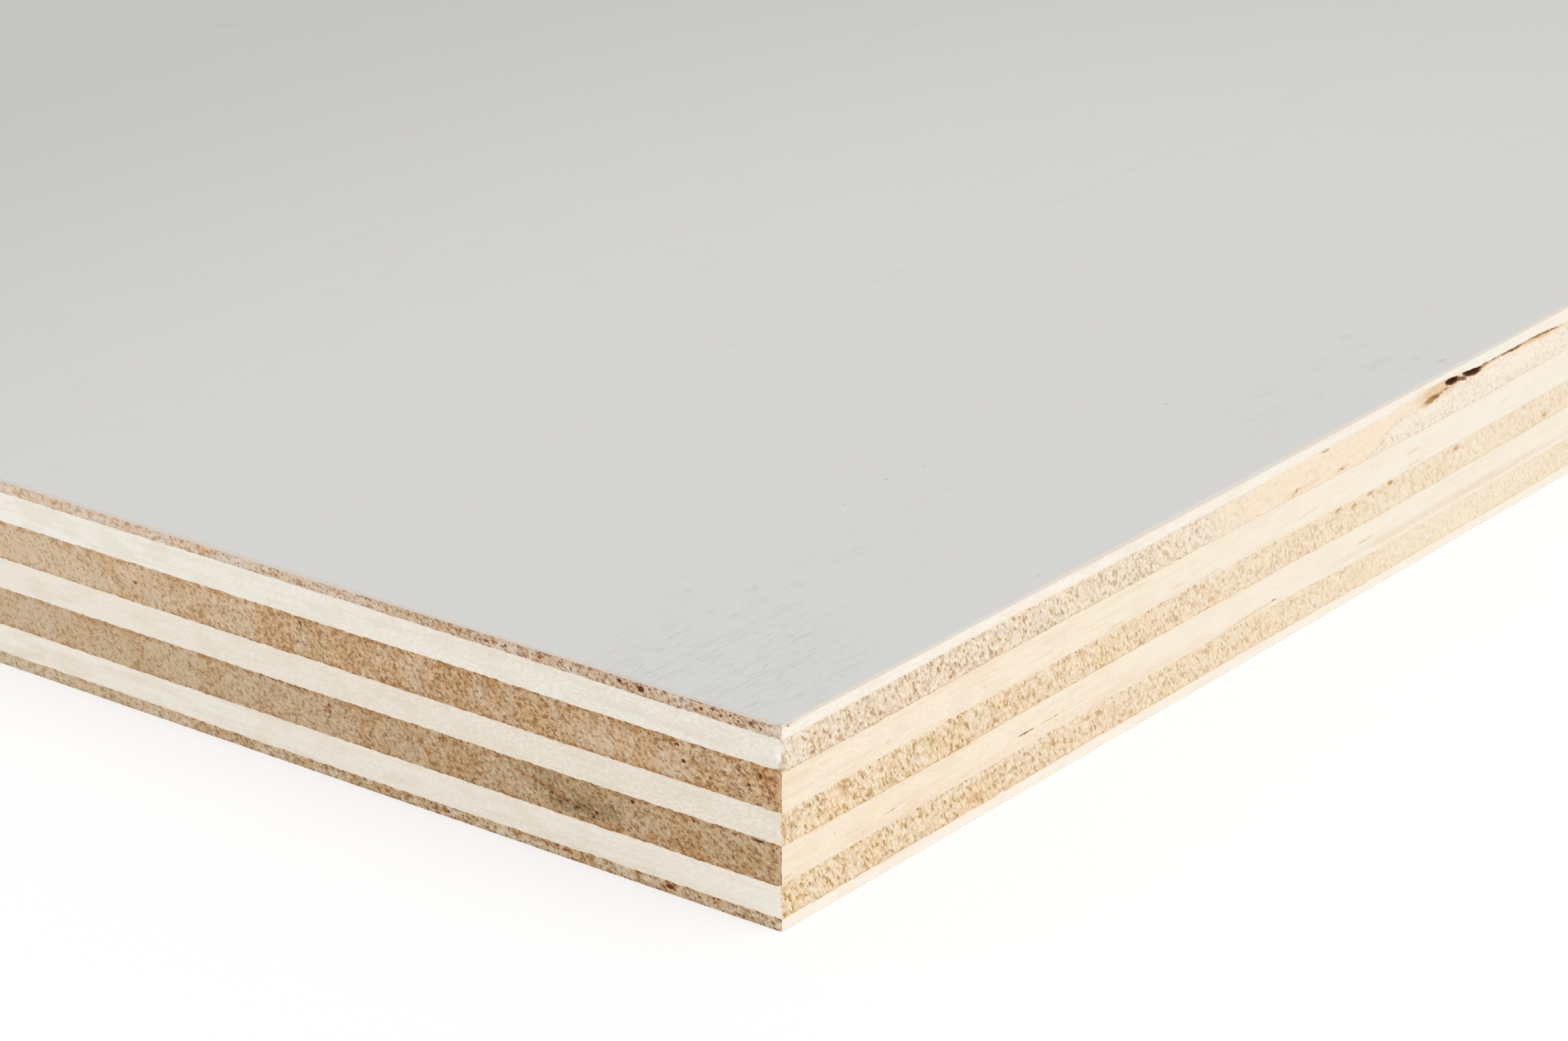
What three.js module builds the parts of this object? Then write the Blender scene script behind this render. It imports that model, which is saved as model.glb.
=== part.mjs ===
// A sheet of 18 mm poplar plywood with a grey coated face: seven veneers, each glued across the one
// below it, and a thin hard coat on the face. Millimetres, +Z up. The origin is the middle of the
// bottom face, the long side runs along X, and the face veneer's grain runs along X too.
import * as THREE from "three";

// The sheet as it is sold.
const SHEET_LENGTH = 2440;
const SHEET_WIDTH = 1220;

// One thickness for each kind of layer.
const COAT_THICKNESS = 0.125;
const OUTER_VENEER_THICKNESS = 1.125;
const CROSSBAND_THICKNESS = 2.875;
const LONG_PLY_THICKNESS = 3.5;

const greyCoat = () =>
  new THREE.MeshStandardMaterial({ color: 0xd4d3ce, roughness: 0.5, metalness: 0 });

const longGrainVeneer = () =>
  new THREE.MeshStandardMaterial({ color: 0xdcbf9a, roughness: 0.8, metalness: 0 });

const crossGrainVeneer = () =>
  new THREE.MeshStandardMaterial({ color: 0xefe6d6, roughness: 0.85, metalness: 0 });

// The lay-up, from the face that lies on the floor up to the coated one.
const layUp = [
  { name: "back_veneer", thickness: OUTER_VENEER_THICKNESS, finish: longGrainVeneer },
  { name: "lower_crossband", thickness: CROSSBAND_THICKNESS, finish: crossGrainVeneer },
  { name: "lower_long_ply", thickness: LONG_PLY_THICKNESS, finish: longGrainVeneer },
  { name: "core_crossband", thickness: CROSSBAND_THICKNESS, finish: crossGrainVeneer },
  { name: "upper_long_ply", thickness: LONG_PLY_THICKNESS, finish: longGrainVeneer },
  { name: "upper_crossband", thickness: CROSSBAND_THICKNESS, finish: crossGrainVeneer },
  { name: "face_veneer", thickness: OUTER_VENEER_THICKNESS, finish: longGrainVeneer },
  { name: "grey_face_coat", thickness: COAT_THICKNESS, finish: greyCoat },
];

// The saw cuts every layer to one outline.
function sheetOutline() {
  const outline = new THREE.Shape();
  outline.moveTo(-SHEET_LENGTH / 2, -SHEET_WIDTH / 2);
  outline.lineTo(SHEET_LENGTH / 2, -SHEET_WIDTH / 2);
  outline.lineTo(SHEET_LENGTH / 2, SHEET_WIDTH / 2);
  outline.lineTo(-SHEET_LENGTH / 2, SHEET_WIDTH / 2);
  outline.closePath();
  return outline;
}

// A layer stands on the one below it with no gap. A geometry holds 32-bit numbers, so the
// thickness is rounded to one: the top of a layer and the bottom of the next are then the same.
function layer({ name, thickness, finish }, bottom) {
  const depth = Math.fround(thickness);
  const geometry = new THREE.ExtrudeGeometry(sheetOutline(), { depth, bevelEnabled: false });
  const mesh = new THREE.Mesh(geometry, finish());
  mesh.name = name;
  mesh.position.z = bottom;
  return { mesh, top: bottom + depth };
}

const plywoodSheet = new THREE.Group();
plywoodSheet.name = "plywood_sheet";

let height = 0;
for (const sheetLayer of layUp) {
  const { mesh, top } = layer(sheetLayer, height);
  plywoodSheet.add(mesh);
  height = top;
}

export default plywoodSheet;
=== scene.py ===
"""Dresses a sheet of coated poplar plywood: seven veneers, a grey face coat and a plain studio.

The classes keep their sizes in millimetres, because a veneer is measured in them, and the meshes
are written in metres. Everything is measured along the sheet's sides from its front left corner.
"""

from __future__ import annotations

import logging
import math
from dataclasses import dataclass, field, replace
from enum import Enum
from typing import Union

import bpy
import numpy as np
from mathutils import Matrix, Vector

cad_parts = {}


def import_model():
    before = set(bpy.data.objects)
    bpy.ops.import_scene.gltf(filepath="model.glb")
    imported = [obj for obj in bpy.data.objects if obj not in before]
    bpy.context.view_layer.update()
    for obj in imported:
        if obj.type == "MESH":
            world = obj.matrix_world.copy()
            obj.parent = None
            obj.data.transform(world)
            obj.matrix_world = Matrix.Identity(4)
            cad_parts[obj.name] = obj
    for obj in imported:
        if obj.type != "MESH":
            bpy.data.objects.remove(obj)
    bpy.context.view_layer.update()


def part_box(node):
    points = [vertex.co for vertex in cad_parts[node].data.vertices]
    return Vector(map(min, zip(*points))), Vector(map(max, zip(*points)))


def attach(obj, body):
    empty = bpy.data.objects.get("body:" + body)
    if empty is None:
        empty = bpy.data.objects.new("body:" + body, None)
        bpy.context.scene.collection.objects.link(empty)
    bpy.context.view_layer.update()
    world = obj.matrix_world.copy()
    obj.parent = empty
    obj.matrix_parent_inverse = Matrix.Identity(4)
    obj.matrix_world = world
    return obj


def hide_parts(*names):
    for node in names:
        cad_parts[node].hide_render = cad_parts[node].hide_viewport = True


LOG = logging.getLogger("plywood_sheet")
MM = 0.001

Colour = tuple[float, float, float]
Feed = Union["Value", float, tuple[float, ...]]


def paint(red: int, green: int, blue: int) -> Colour:
    """Turns a colour as a screen shows it, 0 to 255, into the linear one that a shader takes.

    Args:
        red: The red share.
        green: The green share.
        blue: The blue share.

    Returns:
        The linear colour.
    """

    def linear(share: int) -> float:
        """Undoes the screen's curve for one share."""
        x = share / 255
        return x / 12.92 if x <= 0.04045 else ((x + 0.055) / 1.055) ** 2.4

    return linear(red), linear(green), linear(blue)


def ease(x: np.ndarray, low: float, high: float) -> np.ndarray:
    """Rises smoothly from 0 at low to 1 at high, or falls if low is the larger.

    Args:
        x: The values.
        low: Where the result is 0.
        high: Where the result is 1.

    Returns:
        The eased values.
    """
    t = np.clip((x - low) / (high - low), 0, 1)
    return t * t * (3 - 2 * t)


def follow(course: tuple[tuple[float, float], ...], along: np.ndarray) -> np.ndarray:
    """Follows a course that is given at a few places, easing from each to the next.

    Args:
        course: Places along a side and the value at each, in rising order.
        along: How far along the side each point is.

    Returns:
        The value at each point.
    """
    result = along * 0 + course[0][1]
    for (start, low), (end, high) in zip(course, course[1:]):
        result = result + (high - low) * ease(along, start, end)
    return result


# ---------------------------------------------------------------------------------------------
# Shader maths


class Value:
    """A socket that carries a number, with the arithmetic that the finishes use."""

    def __init__(self, graph: Graph, socket: bpy.types.NodeSocket) -> None:
        """Wraps one output socket of a graph."""
        self.graph = graph
        self.socket = socket

    def __add__(self, other: Feed) -> Value:
        """Adds a number or another value."""
        return self.graph.sum_up("ADD", self, other)

    def __radd__(self, other: Feed) -> Value:
        """Adds this value to a number."""
        return self.graph.sum_up("ADD", other, self)

    def __sub__(self, other: Feed) -> Value:
        """Takes a number or another value away."""
        return self.graph.sum_up("SUBTRACT", self, other)

    def __rsub__(self, other: Feed) -> Value:
        """Takes this value away from a number."""
        return self.graph.sum_up("SUBTRACT", other, self)

    def __mul__(self, other: Feed) -> Value:
        """Multiplies by a number or another value."""
        return self.graph.sum_up("MULTIPLY", self, other)

    def __rmul__(self, other: Feed) -> Value:
        """Multiplies a number by this value."""
        return self.graph.sum_up("MULTIPLY", other, self)

    def rise(self, low: Feed, high: Feed) -> Value:
        """Rises smoothly from 0 at low to 1 at high, or falls if low is the larger.

        Args:
            low: Where the result is 0.
            high: Where the result is 1.

        Returns:
            The eased value.
        """
        eased = {"interpolation_type": "SMOOTHSTEP"}
        return self.graph.node("ShaderNodeMapRange", eased, {0: self, 1: low, 2: high})


@dataclass(frozen=True)
class Lean:
    """How a pattern leans: up from level by degrees, about the axis that crosses its side."""

    across: tuple[float, float, float]
    degrees: float
    stretch: tuple[float, float, float]


class Graph:
    """The node tree of one material, lamp or world, which starts empty."""

    def __init__(self, tree: bpy.types.NodeTree) -> None:
        """Clears the tree for its own nodes."""
        tree.nodes.clear()
        self.tree = tree

    def place(
        self,
        kind: str,
        settings: dict[str, object] | None = None,
        feeds: dict[int | str, Feed] | None = None,
    ) -> bpy.types.Node:
        """Adds a node, sets it and feeds its sockets.

        Args:
            kind: The node's type.
            settings: What is set on the node itself, before its sockets.
            feeds: A number, colour, vector or value for each socket, by name or by place.

        Returns:
            The node.
        """
        made = self.tree.nodes.new(kind)
        for name, setting in (settings or {}).items():
            setattr(made, name, setting)
        for key, feed in (feeds or {}).items():
            if isinstance(feed, Value):
                self.tree.links.new(feed.socket, made.inputs[key])
            else:
                made.inputs[key].default_value = feed
        return made

    def node(
        self,
        kind: str,
        settings: dict[str, object] | None = None,
        feeds: dict[int | str, Feed] | None = None,
        output: int | str = 0,
    ) -> Value:
        """Adds a node and gives one of its outputs.

        Args:
            kind: The node's type.
            settings: What is set on the node itself, before its sockets.
            feeds: A number, colour, vector or value for each socket, by name or by place.
            output: The wanted output, by name or by place.

        Returns:
            The output's value.
        """
        return Value(self, self.place(kind, settings, feeds).outputs[output])

    def sum_up(self, operation: str, first: Feed, second: Feed) -> Value:
        """Works out one sum of two numbers.

        Args:
            operation: The sum's name.
            first: The first number.
            second: The second number.

        Returns:
            The result.
        """
        return self.node("ShaderNodeMath", {"operation": operation}, {0: first, 1: second})

    def vector_sum(self, operation: str, first: Feed, second: Feed) -> Value:
        """Works out one sum of two vectors.

        Args:
            operation: The sum's name.
            first: The first vector.
            second: The second vector.

        Returns:
            The result.
        """
        return self.node("ShaderNodeVectorMath", {"operation": operation}, {0: first, 1: second})

    def blend(self, share: Feed, under: Feed, over: Feed) -> Value:
        """Lays one colour over another.

        Args:
            share: How much of the upper colour shows, 0 to 1.
            under: The lower colour.
            over: The upper colour.

        Returns:
            The mixed colour.
        """
        colours = {
            key: colour if isinstance(colour, Value) else (*colour, 1.0)
            for key, colour in ((6, under), (7, over))
        }
        return self.node("ShaderNodeMix", {"data_type": "RGBA"}, {0: share, **colours}, 2)

    def tint(self, share: Feed, colour: Value, tones: tuple[float, float, float]) -> Value:
        """Stains a colour without hiding its pattern.

        Args:
            share: How strong the stain is, 0 to 1.
            colour: The colour to stain.
            tones: What red, green and blue are multiplied by.

        Returns:
            The stained colour.
        """
        return self.blend(share, colour, self.vector_sum("MULTIPLY", colour, tones))

    def place_in_mm(self, stretch: tuple[float, float, float]) -> Value:
        """Gives each point's place on the sheet in millimetres, squeezed along some axes.

        Args:
            stretch: What each axis is multiplied by; a small share draws a pattern out along it.

        Returns:
            The place as a vector.
        """
        place = self.node("ShaderNodeTexCoord", output="Object")
        return self.vector_sum("MULTIPLY", place, tuple(share / MM for share in stretch))

    def cloud(self, place: Value, grain: float, detail: float = 2.0, seed: float = 0.0) -> Value:
        """Soft random mottling.

        Args:
            place: Where each point lies, in millimetres.
            grain: About how wide one mottle is, in millimetres.
            detail: How many finer layers lie on it.
            seed: Picks another pattern of the same kind.

        Returns:
            A value about 0.5.
        """
        moved = self.vector_sum("ADD", place, (seed, 0.37 * seed, 0.61 * seed))
        feeds = {"Vector": moved, "Scale": 1 / grain, "Detail": detail, "Roughness": 0.6}
        return self.node("ShaderNodeTexNoise", None, feeds)

    def lean(self, place: Value, lean: Lean) -> Value:
        """Turns a place, then squeezes it, so that a pattern leans along a side.

        Args:
            place: Where each point lies, in millimetres.
            lean: How the pattern leans.

        Returns:
            The leaning place.
        """
        feeds = {"Vector": place, "Axis": lean.across, "Angle": math.radians(lean.degrees)}
        turned = self.node("ShaderNodeVectorRotate", {"rotation_type": "AXIS_ANGLE"}, feeds)
        return self.vector_sum("MULTIPLY", turned, lean.stretch)

    def cells(self, place: Value, pitch: float) -> tuple[Value, Value, Value]:
        """Random points scattered about a pitch apart.

        Args:
            place: Where each point lies, in millimetres.
            pitch: The mean way between two points, in millimetres.

        Returns:
            The way to the nearest point, in pitches, and that point's own two lots, 0 to 1.
        """
        feeds = {"Vector": place, "Scale": 1 / pitch}
        strewn = self.place("ShaderNodeTexVoronoi", None, feeds).outputs
        lots = self.place("ShaderNodeSeparateXYZ", None, {0: Value(self, strewn["Color"])}).outputs
        return tuple(Value(self, socket) for socket in (strewn["Distance"], lots[0], lots[1]))

    def traces(self) -> Traces:
        """Reads what the mesh tells a finish at each point.

        Returns:
            The ways to the glue lines and the shares of the blemishes and of the painted highlights.
        """
        layout = self.node("ShaderNodeAttribute", {"attribute_name": "layout"}, output="Vector")
        ways = self.place("ShaderNodeSeparateXYZ", None, {0: layout}).outputs
        marks = self.place("ShaderNodeAttribute", {"attribute_name": "marks"}).outputs
        kinds = self.place("ShaderNodeSeparateXYZ", None, {0: Value(self, marks["Vector"])}).outputs
        sockets = (ways[0], ways[1], *kinds, marks["Alpha"])
        return Traces(*(Value(self, socket) for socket in sockets))

    def bump(self, height: Value, depth_mm: float) -> Value:
        """Turns a height into a bent normal.

        Args:
            height: The height, 0 to 1.
            depth_mm: How far it stands up at 1.

        Returns:
            The normal.
        """
        feeds = {"Strength": 1.0, "Distance": depth_mm * MM, "Height": height}
        return self.node("ShaderNodeBump", None, feeds)

    def finish(self, feeds: dict[int | str, Feed]) -> None:
        """Ends a material with one plain surface shader.

        Args:
            feeds: The shader's sockets.
        """
        surface = self.node("ShaderNodeBsdfPrincipled", None, feeds)
        self.place("ShaderNodeOutputMaterial", None, {"Surface": surface})


def new_material(name: str) -> tuple[bpy.types.Material, Graph]:
    """Makes an empty material.

    Args:
        name: The material's name.

    Returns:
        The material and its graph.
    """
    material = bpy.data.materials.new(name)
    material.use_nodes = True
    return material, Graph(material.node_tree)


# ---------------------------------------------------------------------------------------------
# Finishes


class Grain(Enum):
    """Which way a veneer's fibres run."""

    ALONG_X = 0
    ALONG_Y = 1

    def squeezed(self, share: float) -> tuple[float, float, float]:
        """Gives the stretch that draws a pattern out along the fibres."""
        return (share, 1.0, 1.0) if self is Grain.ALONG_X else (1.0, share, 1.0)

    @property
    def stretch(self) -> tuple[float, float, float]:
        """How a pattern is squeezed to run with the fibres."""
        return self.squeezed(0.04)

    @property
    def softly(self) -> tuple[float, float, float]:
        """How a fleck is squeezed to lie a little along the fibres."""
        return self.squeezed(0.4)


@dataclass(frozen=True)
class Traces:
    """What the mesh tells a finish: the ways to the glue lines (mm) and the shares of the blemishes and
    of the painted highlights.
    """

    rise: Value
    drop: Value
    resin: Value
    dark: Value
    patch: Value
    faded_and_lit: Value


@dataclass(frozen=True)
class BlemishTones:
    """What resin multiplies the wood's colour by, and the rim and the core of its dark marks."""

    resin: tuple[float, float, float] = (0.86, 0.57, 0.32)
    rim: Colour = paint(150, 100, 60)
    dark: Colour = paint(100, 57, 37)

    def spoil(self, graph: Graph, colour: Value, traces: Traces, ragged: Value) -> Value:
        """Lays a side's own resin and dark marks over its wood.

        Args:
            graph: The material's graph.
            colour: The wood's colour.
            traces: Where the marks are.
            ragged: A fine mottling about 0.5 that grains the resin and frays the dark marks.

        Returns:
            The spoilt colour.
        """
        grained = traces.resin * (0.5 + ragged.rise(0.6, 0.4) * 0.5)
        colour = graph.tint(grained, colour, self.resin)
        frays = (0.5 - ragged) * (1.45 - traces.dark) * traces.dark.rise(0.0, 0.25)
        frayed = traces.dark * 1.2 + frays * 1.2
        colour = graph.blend(frayed.rise(0.35, 0.7) * 0.9, colour, self.rim)
        return graph.blend(frayed.rise(0.65, 1.0), colour, self.dark)


@dataclass(frozen=True)
class BrownEnd:
    """Sanded end grain of the long plies: tan and grainy, with leaning scratches and dark specks."""

    name: str
    pale: Colour = paint(231, 204, 169)
    body: Colour = paint(190, 157, 120)
    pore: Colour = paint(144, 104, 64)
    speck: Colour = paint(112, 66, 38)
    faded_and_lit: Colour = paint(229, 207, 177)
    cool: tuple[float, float, float] = (1.0, 1.05, 1.14)
    rust: tuple[float, float, float] = (0.98, 0.85, 0.66)
    stain: tuple[float, float, float] = (0.69, 0.76, 0.74)
    line: tuple[float, float, float] = (0.84, 0.68, 0.5)
    lean: Lean = Lean((-1.0, 0.0, 0.0), 32.0, (1.0, 0.62, 1.0))
    grain_mm: float = 0.185
    clot_mm: float = 0.37
    clot_share: float = 1.9
    cool_share: float = 0.6
    rust_share: float = 0.8
    pore_share: float = 0.85
    speck_share: float = 0.85
    rim_share: float = 0.75
    seed: float = 0.0
    blemishes: BlemishTones = field(default_factory=BlemishTones)

    def material(self) -> bpy.types.Material:
        """Builds the finish.

        Returns:
            The material.
        """
        material, graph = new_material(self.name)
        traces = graph.traces()
        place = graph.place_in_mm(Grain.ALONG_X.stretch)
        leaning = graph.lean(place, self.lean)
        fine = graph.cloud(place, 0.15, 2.0, self.seed)
        middling = graph.cloud(place, 1.0, 3.0, self.seed + 31)
        broad = graph.cloud(place, 5.0, 2.0, self.seed + 23)
        streaks = graph.vector_sum("MULTIPLY", leaning, (1.0, 0.25, 1.0))
        streaks = graph.cloud(streaks, 0.3, 2.0, self.seed + 5)
        clots = graph.cloud(leaning, self.clot_mm, 2.0, self.seed + 41)
        near, lot, hue = graph.cells(leaning, self.grain_mm)
        mottle = (lot - 0.5) * near.rise(0.9, 0.25)

        rim = (traces.rise - clots * 0.45).rise(0.12, -0.15)
        rim = rim + (traces.drop - clots * 1.05).rise(0.04, -0.32)
        rim = rim * (0.2 + middling.rise(0.42, 0.6) * 0.8)
        rusty = ((middling * 0.55 + broad * 0.45).rise(0.4, 0.62) + rim * 0.7).rise(0.0, 1.0)
        clumps = (clots - 0.5) * self.clot_share
        grain = mottle * 0.9 + fine * 0.5 + clumps + 0.26 - rusty * 0.18
        colour = graph.blend(grain.rise(0.1, 1.0), self.body, self.pale)
        drawn = streaks.rise(0.5, 0.7) * broad.rise(0.58, 0.42)
        colour = graph.blend((drawn * 0.5 + traces.faded_and_lit).rise(0.0, 1.0) * 0.68, colour, self.faded_and_lit)
        colour = graph.tint(broad.rise(0.58, 0.44) * self.cool_share, colour, self.cool)
        fresh_and_unlit = 1 - traces.faded_and_lit * 0.6
        colour = graph.tint(rusty * fresh_and_unlit * self.rust_share, colour, self.rust)
        colour = graph.tint(hue.rise(0.5, 1.0) * 0.7, colour, self.rust)
        open_pores = grain.rise(0.3, -0.06) * fresh_and_unlit
        colour = graph.blend(open_pores * self.pore_share, colour, self.pore)
        specks = self._specks(graph, leaning, fine, rusty, traces.patch) * fresh_and_unlit
        colour = graph.blend(specks * self.speck_share, colour, self.speck)
        colour = graph.tint(traces.patch, colour, self.stain)
        colour = graph.tint(rim.rise(0.1, 1.0) * self.rim_share, colour, self.line)
        colour = self.blemishes.spoil(graph, colour, traces, lot * 0.5 + fine * 0.5)
        graph.finish(
            {
                "Base Color": colour,
                "Roughness": 0.85,
                "Specular IOR Level": 0.2,
                "Normal": graph.bump(fine, 0.06),
            }
        )
        return material

    def _specks(
        self, graph: Graph, place: Value, fine: Value, rusty: Value, stained: Value
    ) -> Value:
        """Strews small dark specks, larger where the wood is rusty and thicker in a stain.

        Args:
            graph: The material's graph.
            place: Where each point lies, in millimetres.
            fine: A fine noise that frays the specks.
            rusty: How rusty the wood is.
            stained: How stained the wood is.

        Returns:
            How much of a speck lies at each point.
        """
        near, lot, hue = graph.cells(place, 0.62)
        near = near + fine * 0.6 - 0.3
        size = lot.rise(0.45 - stained * 0.6, 1.0) * (0.3 + rusty * 0.7 + stained * 1.3) * 0.26
        return (near - size).rise(0.09, -0.11) * (0.2 + hue * 0.8 + stained * 0.6)


@dataclass(frozen=True)
class StrawEnd:
    """Torn end grain of the crossbands: pale granules of fibre with straw-brown pits between, and
    painted shade round the rim of each granule.
    """

    name: str
    pale: Colour = paint(252, 237, 208)
    body: Colour = paint(235, 209, 172)
    gap: Colour = paint(198, 167, 110)
    speck: Colour = paint(176, 132, 76)
    faded_and_lit: Colour = paint(249, 236, 214)
    lap: Colour = paint(249, 230, 205)
    warm: tuple[float, float, float] = (1.0, 0.94, 0.84)
    cool: tuple[float, float, float] = (1.0, 0.97, 1.1)
    lean: Lean = Lean((0.0, 1.0, 0.0), -58.0, (0.5, 1.0, 1.0))
    granule_mm: float = 0.24
    gap_share: float = 0.85
    speck_share: float = 0.7
    warm_share: float = 0.7
    seed: float = 0.0
    blemishes: BlemishTones = field(default_factory=BlemishTones)

    def material(self) -> bpy.types.Material:
        """Builds the finish.

        Returns:
            The material.
        """
        material, graph = new_material(self.name)
        traces = graph.traces()
        place = graph.place_in_mm(Grain.ALONG_Y.stretch)
        fine = graph.cloud(place, 0.14, 1.0, self.seed)
        tufts = graph.cloud(place, 0.6, 2.0, self.seed + 31)
        broad = graph.cloud(place, 4.0, 2.0, self.seed + 23)
        near, lot, hue = graph.cells(graph.lean(place, self.lean), self.granule_mm)
        granule = near.rise(0.9, 0.2)

        fresh_and_unlit = 1 - traces.faded_and_lit * 0.75
        mottle = (lot - 0.5) * (0.35 + granule * 0.65)
        level = mottle * 1.1 + fine * 0.7 + 0.15 - (tufts.rise(0.36, 0.64) - 0.5) * 0.5
        colour = graph.blend(level.rise(0.1, 1.0), self.body, self.pale)
        colour = graph.tint(hue.rise(0.3, 0.9), colour, self.cool)
        # Painted shade: each granule is drawn darker towards its rim, where the pits between granules
        # lie.
        colour = graph.blend((1 - granule) * 0.3, colour, self.gap)
        colour = graph.blend(level.rise(0.34, 0.04) * self.gap_share, colour, self.gap)
        colour = graph.blend(level.rise(0.06, -0.12) * self.speck_share, colour, self.speck)
        colour = graph.tint(broad.rise(0.42, 0.6) * self.warm_share, colour, self.warm)
        colour = graph.blend(traces.faded_and_lit * 0.85, colour, self.faded_and_lit)
        colour = graph.blend(traces.patch * (0.6 + granule * 0.25), colour, self.lap)

        low = (traces.rise - fine * 0.2).rise(0.02, -0.08)
        colour = graph.blend(low * fresh_and_unlit * 0.45, colour, self.gap)
        tip = (lot * 0.5 + tufts * 0.5 - traces.drop * 1.2).rise(0.3, 0.45)
        colour = graph.blend(tip * 0.8, colour, self.pale)
        colour = self.blemishes.spoil(graph, colour, traces, tufts * 0.5 + fine * 0.5)
        height = granule * (1 - traces.patch * 0.8)
        graph.finish(
            {
                "Base Color": colour,
                "Roughness": 0.85,
                "Specular IOR Level": 0.2,
                "Normal": graph.bump(height, 0.04),
            }
        )
        return material


@dataclass(frozen=True)
class LongGrain:
    """Veneer that the saw cut along its fibres: smooth, pale, softly mottled and faintly lined."""

    name: str
    grain: Grain
    body: Colour
    pale: Colour
    line: Colour
    fleck: Colour
    faded_and_lit: Colour
    line_share: float = 0.5
    drift_share: float = 0.3
    fleck_share: float = 0.5
    rim_share: float = 0.3
    veil_share: float = 0.0
    seed: float = 0.0
    blemishes: BlemishTones = field(default_factory=BlemishTones)

    def material(self) -> bpy.types.Material:
        """Builds the finish.

        Returns:
            The material.
        """
        material, graph = new_material(self.name)
        traces = graph.traces()
        place = graph.place_in_mm((1.0, 1.0, 1.0))
        softly = graph.vector_sum("MULTIPLY", place, self.grain.softly)
        drawn = graph.place_in_mm(self.grain.stretch)
        chalk = graph.cloud(softly, 0.2, 4.0, self.seed + 7)
        lines = graph.cloud(drawn, 0.4, 3.0, self.seed)
        broad = graph.cloud(softly, 1.6, 3.0, self.seed + 13)
        near, lot, _ = graph.cells(softly, 0.9)

        colour = graph.blend(traces.faded_and_lit, self.body, self.faded_and_lit)
        colour = graph.blend(chalk.rise(0.3, 0.7), colour, self.pale)
        colour = graph.blend(broad.rise(0.46, 0.64) * self.drift_share, colour, self.line)
        colour = graph.blend(lines.rise(0.5, 0.68) * self.line_share, colour, self.line)
        fleck = (near - lot.rise(0.4, 1.0) * 0.14).rise(0.04, -0.03) * broad.rise(0.4, 0.55)
        colour = graph.blend(fleck * self.fleck_share, colour, self.fleck)
        colour = graph.blend(traces.faded_and_lit * self.veil_share, colour, self.faded_and_lit)
        rims = (traces.rise - chalk * 0.16).rise(0.04, -0.06)
        rims = rims + (traces.drop - chalk * 0.16).rise(0.04, -0.06)
        colour = graph.blend(rims * self.rim_share, colour, self.line)
        colour = self.blemishes.spoil(graph, colour, traces, chalk)
        graph.finish(
            {
                "Base Color": colour,
                "Roughness": 0.75,
                "Specular IOR Level": 0.25,
                "Normal": graph.bump(chalk, 0.02),
            }
        )
        return material


@dataclass(frozen=True)
class PeeledFace:
    """The bare face of a peeled veneer, with its wide wandering figure."""

    name: str = "bare_veneer_face"
    body: Colour = paint(224, 205, 172)
    pale: Colour = paint(236, 221, 193)
    line: Colour = paint(196, 165, 122)

    def material(self) -> bpy.types.Material:
        """Builds the finish.

        Returns:
            The material.
        """
        material, graph = new_material(self.name)
        wide = graph.place_in_mm((0.05, 1.0, 1.0))
        sway = graph.cloud(wide, 60.0, 2.0)
        fibres = graph.cloud(graph.place_in_mm((0.02, 1.0, 1.0)), 1.2, 4.0, 5)
        figure = graph.cloud(wide, 14.0, 3.0, 9) + sway * 0.5
        pores = graph.cloud(graph.place_in_mm((0.08, 1.0, 1.0)), 0.3, 1.0, 17)
        colour = graph.blend(fibres.rise(0.3, 0.7), self.body, self.pale)
        colour = graph.blend(figure.rise(0.72, 0.86) * 0.6, colour, self.line)
        colour = graph.blend(pores.rise(0.62, 0.75) * 0.4, colour, self.line)
        graph.finish(
            {
                "Base Color": colour,
                "Roughness": 0.7,
                "Specular IOR Level": 0.3,
                "Normal": graph.bump(fibres + pores * 0.5, 0.06),
            }
        )
        return material


@dataclass(frozen=True)
class Spot:
    """A small dark speck on the coated face, placed from the front left corner (mm)."""

    x: float
    y: float
    length: float
    width: float
    share: float


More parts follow.
